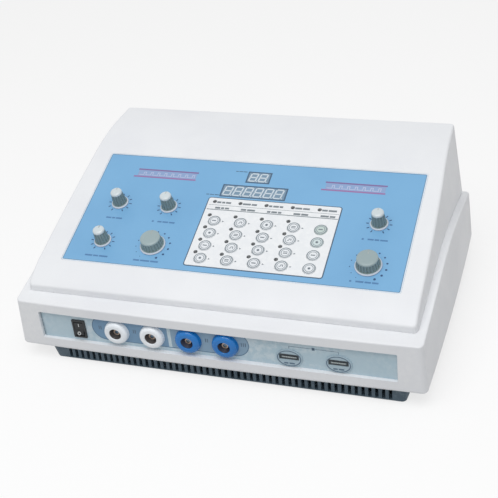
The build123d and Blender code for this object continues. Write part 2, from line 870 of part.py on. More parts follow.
# ------------------------------------------------------------ knobs
knob_base = sheet_z + overlay_thickness + knob_gap
pot_top = -cover_wall
shaft_foot = pot_top - pot_height * 0.6
hollow_height = nut_height + nut_room


# A fluted knob with its flared skirt, and the shaft that it is pressed onto.
def knob_body(x, y, radius, skirt_radius, height, flutes):
    with BuildPart() as body:
        with BuildSketch(panel_plane.offset(knob_base)):
            with Locations((x, y)):
                Circle(skirt_radius)
        extrude(amount=skirt_height)
        chamfer(faces().sort_by(Axis.Z)[-1].edges(), skirt_height * 0.6)
        base = panel_plane.offset(knob_base + skirt_height)
        for lift, reach in ((0, radius), (height - skirt_height, radius - knob_taper)):
            with BuildSketch(base.offset(lift)):
                with Locations((x, y)):
                    Circle(reach)
                    with PolarLocations(reach, flutes):
                        Circle(flute_radius, mode=Mode.SUBTRACT)
        loft(ruled=True)
        with BuildSketch(panel_plane.offset(knob_base)):
            with Locations((x, y)):
                Circle(nut_radius + knob_gap)
        extrude(amount=hollow_height, mode=Mode.SUBTRACT)
        with BuildSketch(panel_plane.offset(knob_base)):
            with Locations((x, y)):
                Circle(shaft_radius + press_clearance)
        extrude(amount=height - shaft_cover + press_clearance, mode=Mode.SUBTRACT)
        with BuildSketch(panel_plane.offset(shaft_foot)):
            with Locations((x, y)):
                Circle(shaft_radius)
        extrude(amount=knob_base + height - shaft_cover - shaft_foot)
    return body.part


def knob_cap(x, y, radius, height, cap_height):
    with BuildPart() as cap:
        with BuildSketch(panel_plane.offset(knob_base + height + cap_gap)):
            with Locations((x, y)):
                Circle(radius - knob_taper + cap_overhang)
        extrude(amount=cap_height)
        fillet(faces().sort_by(Axis.Z)[-1].edges(), cap_height * cap_doming)
    return cap.part


for number, (x, y) in enumerate(small_knob_places, start=1):
    knob = knob_body(x, y, small_knob_radius, small_skirt_radius, small_knob_height, small_flutes)
    save(knob, f"small_knob_{number}")
    save(knob_cap(x, y, small_knob_radius, small_knob_height, small_cap_height), f"small_knob_cap_{number}")
for number, (x, y) in enumerate(large_knob_places, start=1):
    knob = knob_body(x, y, large_knob_radius, large_skirt_radius, large_knob_height, large_flutes)
    save(knob, f"large_knob_{number}")
    save(knob_cap(x, y, large_knob_radius, large_knob_height, large_cap_height), f"large_knob_cap_{number}")

with BuildPart() as potentiometers:
    with BuildSketch(panel_plane.offset(pot_top)):
        with Locations(*knob_places):
            Circle(pot_radius)
    extrude(amount=-pot_height)
    with BuildSketch(panel_plane.offset(pot_top)):
        with Locations(*knob_places):
            Circle(bushing_radius)
    extrude(amount=bushing_height - pot_top + sheet_z + overlay_thickness)
    with BuildSketch(panel_plane.offset(shaft_foot - shaft_clearance)):
        with Locations(*knob_places):
            Circle(shaft_radius + shaft_clearance)
    extrude(amount=pot_height * 2, mode=Mode.SUBTRACT)
save(potentiometers.part, "potentiometers")

with BuildPart() as pot_nuts:
    with BuildSketch(panel_plane.offset(sheet_z + overlay_thickness)):
        with Locations(*knob_places):
            RegularPolygon(nut_radius, 6)
            Circle(bushing_radius + press_clearance, mode=Mode.SUBTRACT)
    extrude(amount=nut_height)
save(pot_nuts.part, "pot_nuts")

# ---------------------------------------------------------- displays, board
window_top = sheet_z + overlay_thickness
with BuildPart() as display_windows:
    with BuildSketch(panel_plane.offset(window_top)):
        for x, y, width, height in windows:
            with Locations((x, y)):
                Rectangle(width, height)
    extrude(amount=-window_thickness)
save(display_windows.part, "display_windows")

with BuildPart() as display_modules:
    with BuildSketch(panel_plane.offset(-board_drop)):
        for x, y, width, height in windows:
            with Locations((x, y)):
                Rectangle(width - display_margin * 2, height - display_margin * 2)
    extrude(amount=board_drop + window_top - window_thickness - window_gap)
save(display_modules.part, "display_modules")

with BuildPart() as status_leds:
    with BuildSketch(panel_plane.offset(-board_drop)):
        with Locations(*led_places):
            Circle(led_radius)
    extrude(amount=board_drop + led_stand)
    domes = faces().filter_by(lambda face: (face.center() - panel_plane.origin).dot(panel_plane.z_dir) > 0)
    fillet(domes.edges(), led_radius * 0.5)
save(status_leds.part, "status_leds")

switch_height = board_drop + stem_top - key_stem_length - key_travel - switch_gap
with BuildPart() as key_switches:
    with BuildSketch(panel_plane.offset(-board_drop)):
        with Locations(*key_places):
            Rectangle(switch_size, switch_size)
    extrude(amount=switch_height - plunger_height)
    with BuildSketch(panel_plane.offset(-board_drop)):
        with Locations(*key_places):
            Circle(plunger_radius)
    extrude(amount=switch_height)
save(key_switches.part, "key_switches")

with BuildPart() as control_board:
    with BuildSketch(panel_plane.offset(-board_drop)):
        with Locations((0, (board_bottom + board_top) / 2)):
            Rectangle(panel_width - board_margin * 2, board_top - board_bottom)
        with Locations(*board_posts):
            Circle(screw_radius + hole_clearance, mode=Mode.SUBTRACT)
    extrude(amount=-board_thickness)
save(control_board.part, "control_board")

# ------------------------------------------------------------ power supply
supply_z = floor_z + stand_height
core_z = supply_z
supply_screws = [
    (board_x + side * (board_length / 2 - stand_inset), supply_y + end * (board_width / 2 - stand_inset))
    for side in (-1, 1)
    for end in (-1, 1)
]
with BuildPart() as power_board:
    with BuildSketch(Plane.XY.offset(supply_z)):
        with Locations((board_x, supply_y)):
            Rectangle(board_length, board_width)
        with Locations(*supply_screws):
            Circle(screw_radius + hole_clearance, mode=Mode.SUBTRACT)
    extrude(amount=board_thickness)
    # smoothing capacitors and the output transformers
    with BuildSketch(Plane.XY.offset(supply_z + board_thickness)):
        with Locations((board_x, supply_y)):
            with Locations(*capacitor_places):
                Circle(capacitor_radius)
            with GridLocations(output_coil_pitch, 0, 4, 1):
                Rectangle(output_coil_width, output_coil_length)
    extrude(amount=component_height)
save(power_board.part, "power_board")

with BuildPart() as transformer_core:
    with BuildSketch(Plane.XZ.offset(-core_y - core_length / 2)):
        with Locations((core_x, core_z + core_height / 2)):
            Rectangle(core_width, core_height)
            with GridLocations(limb_width + core_window, 0, 2, 1):
                Rectangle(core_window, core_height - limb_width, mode=Mode.SUBTRACT)
    extrude(amount=core_length)
save(transformer_core.part, "transformer_core")

coil_overhang = core_window - winding_clearance
with BuildPart() as transformer_winding:
    with BuildSketch(Plane.XY.offset(core_z + limb_width / 2 + winding_clearance)):
        with Locations((core_x, core_y)):
            Rectangle(limb_width + coil_overhang * 2, core_length + coil_overhang * 2)
            Rectangle(
                limb_width + winding_clearance * 2, core_length + winding_clearance * 2, mode=Mode.SUBTRACT
            )
    extrude(amount=core_height - limb_width - winding_clearance * 2)
save(transformer_winding.part, "transformer_winding")

# ------------------------------------------------------------ mains inlet
inlet_outer_y = back_y + inlet_flange
with BuildPart() as mains_inlet:
    with BuildSketch(Plane.XZ.offset(-inlet_outer_y)):
        with Locations((inlet_x, inlet_z)):
            RectangleRounded(inlet_flange_width, inlet_flange_height, inlet_corner)
            with GridLocations(inlet_screw_pitch, 0, 2, 1):
                Circle(screw_radius + hole_clearance, mode=Mode.SUBTRACT)
    extrude(amount=inlet_flange)
    with BuildSketch(Plane.XZ.offset(-inlet_outer_y)):
        with Locations((inlet_x, inlet_z)):
            Rectangle(inlet_body_width, inlet_body_height)
    extrude(amount=inlet_body_depth + inlet_flange)
    with BuildSketch(Plane.XZ.offset(-inlet_outer_y)):
        with Locations((inlet_x, inlet_z)):
            Rectangle(inlet_cavity_width, inlet_cavity_height)
    extrude(amount=inlet_cavity_depth, mode=Mode.SUBTRACT)
save(mains_inlet.part, "mains_inlet")

with BuildPart() as inlet_pins:
    with BuildSketch(Plane.XZ.offset(-inlet_outer_y + inlet_cavity_depth)):
        with Locations((inlet_x, inlet_z)):
            with GridLocations(pin_pitch, 0, 2, 1):
                Rectangle(pin_width, pin_height)
            with Locations((0, pin_height)):
                Rectangle(pin_width, pin_height)
    extrude(amount=-pin_length)
save(inlet_pins.part, "inlet_pins")


# ------------------------------------------------------------------ screws
def screw(plane, head_radius, head_height, radius, length):
    with BuildPart() as piece:
        with BuildSketch(plane):
            Circle(head_radius)
        extrude(amount=-head_height)
        with BuildSketch(plane):
            Circle(radius)
        extrude(amount=length)
    return piece.part


case_screw_length = shell_z + shell_wall + case_screw_bite - foot_drop - case_head_height
with BuildPart() as screws:
    for x, y in case_screw_places:
        plane = Plane((x, y, foot_drop + case_head_height))
        thread_radius = case_screw_radius - press_clearance
        add(screw(plane, case_head_radius, case_head_height, thread_radius, case_screw_length))
    for x, y in supply_screws:
        plane = Plane((x, y, supply_z + board_thickness), z_dir=(0, 0, -1))
        add(screw(plane, screw_head_radius, screw_head_height, screw_radius - press_clearance, screw_bite))
    for x, y in board_posts:
        spot = panel_plane.offset(-board_drop - board_thickness).from_local_coords(Vector(x, y, 0))
        plane = Plane(spot, x_dir=(1, 0, 0), z_dir=panel_plane.z_dir)
        add(screw(plane, screw_head_radius, screw_head_height, screw_radius - press_clearance, screw_bite))
    for side in (-0.5, 0.5):
        plane = Plane((inlet_x + side * inlet_screw_pitch, inlet_outer_y, inlet_z), z_dir=(0, -1, 0))
        add(screw(plane, screw_head_radius, screw_head_height, screw_radius - press_clearance, screw_bite))
save(screws.part, "screws")
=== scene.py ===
import json
import math

import bmesh
import bpy
from mathutils import Matrix, Vector


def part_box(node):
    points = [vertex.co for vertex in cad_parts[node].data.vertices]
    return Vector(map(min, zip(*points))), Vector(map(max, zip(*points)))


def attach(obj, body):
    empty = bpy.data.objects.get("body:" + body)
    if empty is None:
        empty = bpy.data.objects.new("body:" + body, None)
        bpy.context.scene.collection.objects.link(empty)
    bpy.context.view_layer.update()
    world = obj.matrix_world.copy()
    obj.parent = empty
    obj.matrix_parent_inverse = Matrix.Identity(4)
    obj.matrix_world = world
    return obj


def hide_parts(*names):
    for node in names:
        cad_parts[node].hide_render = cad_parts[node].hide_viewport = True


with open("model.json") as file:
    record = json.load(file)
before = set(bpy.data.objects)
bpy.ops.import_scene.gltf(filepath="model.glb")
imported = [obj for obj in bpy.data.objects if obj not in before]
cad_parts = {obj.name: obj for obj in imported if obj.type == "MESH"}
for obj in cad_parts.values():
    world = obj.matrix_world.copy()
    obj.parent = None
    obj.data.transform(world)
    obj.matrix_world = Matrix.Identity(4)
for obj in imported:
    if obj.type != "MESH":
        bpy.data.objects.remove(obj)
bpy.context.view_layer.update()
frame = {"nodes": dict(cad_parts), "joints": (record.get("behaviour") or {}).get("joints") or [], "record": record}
nodes = frame["nodes"]
joints = {joint["name"]: joint for joint in frame["joints"]}
mm = 0.001


# colours are written as hex and turned into linear values
def paint(code):
    values = [int(code[start:start + 2], 16) / 255 for start in (1, 3, 5)]
    return tuple(v / 12.92 if v <= 0.04045 else ((v + 0.055) / 1.055) ** 2.4 for v in values) + (1.0,)


# the control slope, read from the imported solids; its sheet lies in a pocket
slopeNormal = -Vector(joints["key_01_press"]["axis"]).normalized()
slopeAlong = Vector((0, slopeNormal.z, -slopeNormal.y))
overlayLow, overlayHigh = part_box("control_overlay")
pocketDepth = 0.6 * mm
overlayMiddle = (overlayLow.x + overlayHigh.x) / 2
slopeFoot = Vector((overlayMiddle, overlayLow.y, overlayLow.z + pocketDepth * slopeNormal.z))
slopeLift = slopeNormal.dot(slopeFoot)


# a point on the slope: across, up and lift in millimetres
def onSlope(across, up, lift):
    return slopeFoot + Vector((across * mm, 0, 0)) + slopeAlong * (up * mm) + slopeNormal * (lift * mm)


def slopePlace(point):
    offset = Vector(point) - slopeFoot
    return offset.x / mm, offset.dot(slopeAlong) / mm


# the recessed plate at the front, across from the case's middle and up from the floor
plateLow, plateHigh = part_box("front_panel")


def onPlate(across, up, lift):
    return Vector((across * mm, plateLow.y - lift * mm, up * mm))


# middle of a node's top face, measured along the slope's normal
topTolerance = 0.05 * mm


def topMiddle(name):
    corners = [v.co for v in nodes[name].data.vertices]
    top = max(c.dot(slopeNormal) for c in corners)
    rim = [c for c in corners if c.dot(slopeNormal) > top - topTolerance]
    low = Vector((min(c[i] for c in rim) for i in range(3)))
    high = Vector((max(c[i] for c in rim) for i in range(3)))
    return slopePlace((low + high) / 2)


# gives a socket a plain value, or links it to what another node puts out
def feed(tree, socket, value):
    if isinstance(value, bpy.types.NodeSocket):
        tree.links.new(value, socket)
    else:
        socket.default_value = value


def addNode(tree, kind, settings=None, **values):
    node = tree.nodes.new(kind)
    for key, value in (settings or {}).items():
        setattr(node, key, value)
    for key, value in values.items():
        feed(tree, node.inputs[key.replace("_", " ")], value)
    return node


def mathNode(tree, operation, first, second):
    node = addNode(tree, "ShaderNodeMath", {"operation": operation})
    feed(tree, node.inputs[0], first)
    feed(tree, node.inputs[1], second)
    return node.outputs[0]


def rampNode(tree, value, low, high):
    settings = {"interpolation_type": "SMOOTHSTEP"}
    node = addNode(tree, "ShaderNodeMapRange", settings, Value=value, From_Min=low, From_Max=high)
    return node.outputs["Result"]


# Shared effects: each is a node group that takes coordinates and a scale.
def startGroup(name, scaleLabel, scale, outputs=("Mask",)):
    group = bpy.data.node_groups.new(name, "ShaderNodeTree")
    sockets = group.interface
    sockets.new_socket(name="Coordinates", in_out="INPUT", socket_type="NodeSocketVector")
    scaleSocket = sockets.new_socket(name=scaleLabel, in_out="INPUT", socket_type="NodeSocketFloat")
    scaleSocket.default_value = scale
    for label in outputs:
        sockets.new_socket(name=label, in_out="OUTPUT", socket_type="NodeSocketFloat")
    return group, group.nodes.new("NodeGroupInput").outputs, group.nodes.new("NodeGroupOutput").inputs


def addNoise(group, given, scale, **values):
    noise = addNode(group, "ShaderNodeTexNoise", Vector=given["Coordinates"], Scale=scale, **values)
    return noise.outputs["Fac"]


# fine pebbled mould texture, with a slow drift of tone
grainMake = {"smoothness": 0.6, "fineTimes": 1.7, "driftScale": 14.0, "drift": (0.3, 0.7)}


def buildMouldGrain():
    group, given, made = startGroup("mouldGrain", "Grain Scale", 1400.0, ("Height", "Tone"))
    pebble = addNode(
        group, "ShaderNodeTexVoronoi", {"feature": "SMOOTH_F1"}, Vector=given["Coordinates"],
        Scale=given["Grain Scale"], Smoothness=grainMake["smoothness"],
    )
    fineScale = mathNode(group, "MULTIPLY", given["Grain Scale"], grainMake["fineTimes"])
    fine = addNoise(group, given, fineScale, Detail=3.0, Roughness=0.6)
    slow = addNoise(group, given, grainMake["driftScale"], Detail=4.0, Roughness=0.55)
    height = mathNode(group, "ADD", pebble.outputs["Distance"], fine)
    feed(group, made["Height"], mathNode(group, "MULTIPLY", height, 0.5))
    feed(group, made["Tone"], rampNode(group, slow, *grainMake["drift"]))
    return group


# rubbed edges: raised edges that a patchy noise breaks up; their lighter tone is partly wear and partly a painted
# highlight
rubAndSheenMake = {"edge": (0.52, 0.62), "patches": (0.42, 0.62)}


def buildEdgeRubAndSheen():
    group, given, made = startGroup("edgeRub", "Patch Scale", 180.0)
    shape = group.nodes.new("ShaderNodeNewGeometry")
    patch = addNoise(group, given, given["Patch Scale"], Detail=5.0, Roughness=0.65)
    edge = rampNode(group, shape.outputs["Pointiness"], *rubAndSheenMake["edge"])
    broken = rampNode(group, patch, *rubAndSheenMake["patches"])
    feed(group, made["Mask"], mathNode(group, "MULTIPLY", edge, broken))
    return group


# dust that settles in specks on faces that look up
dustMake = {"facing": (0.2, 0.95), "cloudScale": 30.0, "clouds": (0.35, 0.75), "specks": (0.45, 0.7)}


def buildDust():
    group, given, made = startGroup("settledDust", "Speck Scale", 900.0)
    shape = group.nodes.new("ShaderNodeNewGeometry")
    split = addNode(group, "ShaderNodeSeparateXYZ", Vector=shape.outputs["Normal"])
    cloud = addNoise(group, given, dustMake["cloudScale"], Detail=6.0, Roughness=0.7)
    speck = addNoise(group, given, given["Speck Scale"], Detail=2.0)
    facing = rampNode(group, split.outputs["Z"], *dustMake["facing"])
    clouds = rampNode(group, cloud, *dustMake["clouds"])
    specks = rampNode(group, speck, *dustMake["specks"])
    spread = mathNode(group, "MULTIPLY", clouds, specks)
    feed(group, made["Mask"], mathNode(group, "MULTIPLY", facing, spread))
    return group


# smears that a hand leaves: they change the gloss of a plastic and the tarnish of a metal
smearMake = {"twist": 1.2, "reach": (0.35, 0.7)}


def buildHandSmears():
    group, given, made = startGroup("handSmears", "Smear Scale", 24.0)
    smear = addNoise(
        group, given, given["Smear Scale"], Detail=5.0, Roughness=0.6, Distortion=smearMake["twist"]
    )
    feed(group, made["Mask"], rampNode(group, smear, *smearMake["reach"]))
    return group


mouldGrain = buildMouldGrain()
edgeRub = buildEdgeRubAndSheen()
settledDust = buildDust()
handSmears = buildHandSmears()
print("shared effects ready")


# the part that all materials share
def mixColours(tree, mask, first, second, amount=1.0):
    if amount != 1.0:
        mask = mathNode(tree, "MULTIPLY", mask, amount)
    node = addNode(tree, "ShaderNodeMix", {"data_type": "RGBA"}, Factor=mask)
    for value, name in ((first, "A"), (second, "B")):
        feed(tree, next(s for s in node.inputs if s.name == name and s.type == "RGBA"), value)
    return next(s for s in node.outputs if s.type == "RGBA")


def startMaterial(name):
    material = bpy.data.materials.new(name)
    material.use_nodes = True
    coordinates = material.node_tree.nodes.new("ShaderNodeTexCoord").outputs["Object"]
    return material, material.node_tree, coordinates


def addEffect(tree, group, coordinates, scale):
    node = addNode(tree, "ShaderNodeGroup", {"node_tree": group})
    feed(tree, node.inputs[0], coordinates)
    feed(tree, node.inputs[1], scale)
    return node.outputs


# the colour, a gloss that runs between two values and a fine bump
def finishMaterial(tree, look, colour, glossMask, height):
    shader = tree.nodes["Principled BSDF"]
    feed(tree, shader.inputs["Base Color"], colour)
    least, most = look["gloss"]
    gloss = addNode(tree, "ShaderNodeMapRange", Value=glossMask, To_Min=least, To_Max=most)
    feed(tree, shader.inputs["Roughness"], gloss.outputs["Result"])
    depth = look["grainDepth"] * mm
    bump = addNode(tree, "ShaderNodeBump", Strength=look["grainStrength"], Distance=depth, Height=height)
    feed(tree, shader.inputs["Normal"], bump.outputs["Normal"])
    return shader


# A moulded or printed plastic. What a look leaves out comes from these values.
plainLook = {
    "grainScale": 1400.0, "grainStrength": 0.12, "grainDepth": 0.02, "shine": 0.4, "smearScale": 24.0,
    # the near-white edge tone is partly wear and partly a painted highlight on raised edges
    "rub": 0.3, "rubTone": "#f4f5f5", "rubScale": 180.0,
    "dust": 0.1, "dustTone": "#cfcdc8", "speckScale": 900.0,
}


def plastic(name, ownLook):
    look = {**plainLook, **ownLook}
    material, tree, coordinates = startMaterial(name)
    grain = addEffect(tree, mouldGrain, coordinates, look["grainScale"])
    rub = addEffect(tree, edgeRub, coordinates, look["rubScale"])
    dust = addEffect(tree, settledDust, coordinates, look["speckScale"])
    smears = addEffect(tree, handSmears, coordinates, look["smearScale"])
    colour = mixColours(tree, grain["Tone"], paint(look["tone"]), paint(look["drift"]))
    if "lowTone" in look:  # a second colour below a height over the slope
        height = addNode(tree, "ShaderNodeVectorMath", {"operation": "DOT_PRODUCT"})
        feed(tree, height.inputs[0], coordinates)
        feed(tree, height.inputs[1], slopeNormal)
        lifted = mathNode(tree, "SUBTRACT", height.outputs["Value"], slopeLift)
        below = mathNode(tree, "LESS_THAN", lifted, look["lowLimit"] * mm)
        colour = mixColours(tree, below, colour, paint(look["lowTone"]))
    for axis, clear, deep in look.get("grime", ()):  # painted shade that darkens towards one side
        split = addNode(tree, "ShaderNodeSeparateXYZ", Vector=coordinates)
        shadeMask = rampNode(tree, split.outputs[axis], clear, deep)
        colour = mixColours(tree, shadeMask, colour, paint(look["grimeTone"]), look["grimeShare"])
    # raised edges turn lighter: partly wear, partly a painted highlight
    colour = mixColours(tree, rub["Mask"], colour, paint(look["rubTone"]), look["rub"])
    colour = mixColours(tree, dust["Mask"], colour, paint(look["dustTone"]), look["dust"])
    shader = finishMaterial(tree, look, colour, smears["Mask"], grain["Height"])
    shader.inputs["Specular IOR Level"].default_value = look["shine"]
    return material


# A turned, plated or laminated metal. The coordinates are stretched along its machining marks.
plainMetal = {
    "markScale": 400.0, "smearScale": 90.0, "tarnishShare": 0.35, "grainStrength": 0.2,
    "grainDepth": 0.01,
}


def metal(name, ownLook):
    look = {**plainMetal, **ownLook}
    material, tree, coordinates = startMaterial(name)
    stretch = addNode(tree, "ShaderNodeMapping", Vector=coordinates, Scale=look["marks"]).outputs[0]
    noise = addNode(
        tree, "ShaderNodeTexNoise", Vector=stretch, Scale=look["markScale"], Detail=6.0, Roughness=0.7
    )
    marks = noise.outputs["Fac"]
    smears = addEffect(tree, handSmears, coordinates, look["smearScale"])
    colour = mixColours(tree, marks, paint(look["tone"]), paint(look["drift"]))
    colour = mixColours(tree, smears["Mask"], colour, paint(look["tarnish"]), look["tarnishShare"])
    shader = finishMaterial(tree, look, colour, marks, marks)
    shader.inputs["Metallic"].default_value = 1.0
    return material


# The plate reaches this far behind the edges of its recess. Painted shade darkens it along the top and the left.
plateMargin = 4.0 * mm
recessShadeReach = {"top": (2.2 * mm, 0.4 * mm), "left": 3.0 * mm}
recessTop, recessLeft = plateHigh.z - plateMargin, plateLow.x + plateMargin
plateRecessShade = (
    ("Z", *(recessTop - reach for reach in recessShadeReach["top"])),
    ("X", recessLeft + recessShadeReach["left"], recessLeft),
)

# values that several looks share
sheetLook = {"grainScale": 2600.0, "grainStrength": 0.1, "dust": 0.0}
keyLook = {**sheetLook, "gloss": (0.34, 0.44)}
socketLook = {"gloss": (0.16, 0.26), "grainStrength": 0.03, "shine": 0.5}
printLook = {"grainScale": 3000.0, "gloss": (0.38, 0.48), "dust": 0.0, "rub": 0.0}

plasticLooks = {
    "whiteCasePlastic": {
        "tone": "#e6e8eb", "drift": "#e2e4e8", "gloss": (0.38, 0.5), "grainStrength": 0.16,
        "rub": 0.25, "dust": 0.1,
    },
    "slateBasePlastic": {
        "tone": "#4a5b68", "drift": "#42535f", "gloss": (0.45, 0.6), "rubTone": "#7b8c97",
    },
    "footRubber": {
        "tone": "#2a2c2d", "drift": "#232526", "gloss": (0.75, 0.9), "grainStrength": 0.4,
        "rubTone": "#55585a",
    },
    "frontPlatePrint": {
        "tone": "#b6cbd6", "drift": "#afc6d2", "gloss": (0.35, 0.45), "grainScale": 2200.0,
        # the plate darkens towards the recess's top and left edges: painted shade
        "grainStrength": 0.08, "dust": 0.0, "grime": plateRecessShade, "grimeTone": "#6d7f8b",
        "grimeShare": 0.85,
    },
    "probeShellPlastic": {
        "tone": "#a9bdc8", "drift": "#a1b6c2", "gloss": (0.35, 0.45), "grainScale": 2200.0,
        "grainStrength": 0.08, "rubTone": "#c8d6de",
    },
    "whiteSocketPlastic": {**socketLook, "tone": "#eff4f9", "drift": "#e8eef4"},
    "blueSocketPlastic": {
        **socketLook, "tone": "#0376c6", "drift": "#036cb8", "rubTone": "#69a9e0",
    },
    # dark cups inside the socket mouths: painted shade for the shadow within them
    "socketLinerPlastic": {
        "tone": "#3a3535", "drift": "#302c2c", "gloss": (0.4, 0.55), "rubTone": "#5a5454",
    },
    "blueSocketLinerPlastic": {
        "tone": "#1b2440", "drift": "#161e37", "gloss": (0.4, 0.55), "rubTone": "#3a4464",
    },
    "darkMouldedPlastic": {
        "tone": "#343b40", "drift": "#2c3338", "gloss": (0.5, 0.65), "rubTone": "#5d6469",
    },
    "greyMouldedPlastic": {
        "tone": "#8b979c", "drift": "#818d93", "gloss": (0.45, 0.6), "rubTone": "#a5afb3",
    },
    "blackSwitchPlastic": {
        "tone": "#25292b", "drift": "#1f2325", "gloss": (0.3, 0.42), "rubTone": "#5a5f62",
    },
    "blueOverlayPrint": {
        **sheetLook, "tone": "#79add5", "drift": "#74a8d1", "gloss": (0.36, 0.46), "rub": 0.0,
    },
    "whiteKeypadPrint": {
        **sheetLook, "tone": "#e4e7ea", "drift": "#e0e3e7", "gloss": (0.36, 0.48),
    },
    "paleKeyPlastic": {**keyLook, "tone": "#e2e6ea", "drift": "#dde1e6"},
    "greenKeyPlastic": {**keyLook, "tone": "#c0cfcb", "drift": "#b8c8c4"},
    "paleGreenKeyPlastic": {**keyLook, "tone": "#ccd9da", "drift": "#c4d2d3"},
    "flutedKnobPlastic": {
        "tone": "#8b9e9f", "drift": "#809294", "gloss": (0.32, 0.44), "rubTone": "#c2cbc8",
        "lowTone": "#c9d0dc", "lowLimit": 1.9,
    },
    "smallCapPlastic": {
        "tone": "#cdd6da", "drift": "#c6d0d4", "gloss": (0.2, 0.32), "grainStrength": 0.05,
        "shine": 0.5,
    },
    "largeCapPlastic": {
        "tone": "#99abae", "drift": "#92a3a6", "gloss": (0.28, 0.4), "grainStrength": 0.06,
    },
    "capLinePlastic": {
        "tone": "#8d9997", "drift": "#85918f", "gloss": (0.3, 0.4), "grainStrength": 0.05,
    },
    "smokedWindow": {
        "tone": "#7590a6", "drift": "#708ba1", "gloss": (0.1, 0.16), "grainStrength": 0.02,
        "shine": 0.5, "rub": 0.0, "dust": 0.0,
    },
    "displayBody": {"tone": "#2a2e31", "drift": "#24282b", "gloss": (0.5, 0.6)},
    "unlitLamp": {
        "tone": "#45484a", "drift": "#3c3f41", "gloss": (0.12, 0.2), "grainStrength": 0.02,
        "shine": 0.5,
    },
    "boardLaminate": {
        "tone": "#1d5a38", "drift": "#174e30", "gloss": (0.35, 0.5), "rubTone": "#c9b36a",
    },
    "windingTape": {"tone": "#c9a447", "drift": "#b8933a", "gloss": (0.4, 0.55)},
    "blackInletPlastic": {
        "tone": "#1d1f20", "drift": "#181a1b", "gloss": (0.4, 0.55), "rubTone": "#4b4f51",
    },
}
printTones = {
    # the sheet's darker edge line is painted shade of the pocket's rim
    "sheetEdgePrint": ("#dfe7ee", "#d8e1e9"), "sheetLinePrint": ("#5f87a8", "#5a81a2"),
    "dialMarkPrint": ("#35527a", "#304c72"), "labelPrint": ("#5480ad", "#4f7aa6"),
    "stripPrint": ("#8aa2c9", "#859dc5"), "strongRulePrint": ("#7a6796", "#83699a"),
    "roseRulePrint": ("#99709f", "#8e6fa0"), "pulsePrint": ("#b9c2dc", "#aeb8d6"),
    "displayFramePrint": ("#47627c", "#415c76"), "segmentPrint": ("#c6d2db", "#bdcad4"),
    "keypadEdgePrint": ("#4a6178", "#445b72"), "keypadTextPrint": ("#7b8389", "#737b82"),
    "keypadLinePrint": ("#747f86", "#6c777e"), "keyRingPrint": ("#7f8990", "#778188"),
    "lampRimPrint": ("#54585b", "#4c5053"), "keyMarkPrint": ("#6f7880", "#677078"),
    "whiteMarkPrint": ("#d9dcdc", "#cfd3d3"),
    "surroundEdgePrint": ("#5b7a95", "#56748f"), "surroundLeftPrint": ("#7597b4", "#7092b0"),
    "surroundRightPrint": ("#8aa6bb", "#85a1b7"), "plateTextPrint": ("#5a7085", "#556b80"),
    "splitLinePrint": ("#c9dbe0", "#c2d5db"),
}
plasticLooks.update({
    name: {**printLook, "tone": tone, "drift": drift} for name, (tone, drift) in printTones.items()
})
# the surround prints darken towards the recess's top and left edges too: painted shade
for name in ("surroundEdgePrint", "surroundLeftPrint", "surroundRightPrint", "splitLinePrint"):
    plasticLooks[name].update({"grime": plateRecessShade, "grimeTone": "#44586a", "grimeShare": 0.85})
metalLooks = {
    "turnedContact": {
        "tone": "#b3a193", "drift": "#9c8b7e", "tarnish": "#7f7067", "gloss": (0.28, 0.45),
        "marks": (1.0, 0.05, 1.0),
    },
    "nickelPlate": {
        "tone": "#c4c4c0", "drift": "#adada9", "tarnish": "#98958e", "gloss": (0.25, 0.4),
        "marks": (0.2, 1.0, 1.0),
    },
    "zincScrew": {
        "tone": "#b4b6b8", "drift": "#9c9fa2", "tarnish": "#85837c", "gloss": (0.28, 0.45),
        "marks": (1.0, 1.0, 0.2),
    },
    "canSteel": {
        "tone": "#b9b9b6", "drift": "#a5a5a2", "tarnish": "#8e8b84", "gloss": (0.3, 0.45),
        "marks": (1.0, 0.2, 0.2),
    },
    "coreLaminations": {
        "tone": "#5e5e60", "drift": "#454547", "tarnish": "#3a3836", "gloss": (0.45, 0.6),
        "marks": (0.05, 1.0, 0.05),
    },
}
materials = {name: plastic(name, look) for name, look in plasticLooks.items()}
materials.update({name: metal(name, look) for name, look in metalLooks.items()})
print("materials ready:", len(materials))

nodeFinishes = {
    "lower_shell": "whiteCasePlastic", "top_cover": "whiteCasePlastic",
    "base_tray": "slateBasePlastic", "rubber_feet": "footRubber",
    "front_panel": "frontPlatePrint", "white_sockets": "whiteSocketPlastic",
    "blue_sockets": "blueSocketPlastic", "socket_contacts": "turnedContact",
    "socket_nuts": "nickelPlate", "pot_nuts": "nickelPlate",
    "probe_socket_shells": "probeShellPlastic", "probe_socket_inserts": "darkMouldedPlastic",
    "switch_frame": "blackSwitchPlastic", "switch_rocker": "blackSwitchPlastic",
    "control_overlay": "blueOverlayPrint", "keypad_membrane": "whiteKeypadPrint",
    "potentiometers": "canSteel", "display_windows": "smokedWindow",
    "display_modules": "displayBody", "status_leds": "unlitLamp",
    "key_switches": "darkMouldedPlastic", "control_board": "boardLaminate",
    "power_board": "boardLaminate", "transformer_core": "coreLaminations",
    "transformer_winding": "windingTape", "mains_inlet": "blackInletPlastic",
    "inlet_pins": "nickelPlate", "screws": "zincScrew",
    "key_05": "greenKeyPlastic", "key_10": "paleGreenKeyPlastic",
}
for name, node in nodes.items():
    if name in nodeFinishes:
        finish = nodeFinishes[name]
    elif "knob_cap" in name:
        finish = "smallCapPlastic" if name.startswith("small") else "largeCapPlastic"
    else:
        finish = "flutedKnobPlastic" if "knob" in name else "paleKeyPlastic"
    node.data.materials.clear()
    node.data.materials.append(materials[finish])
print("solids finished:", len(nodes))


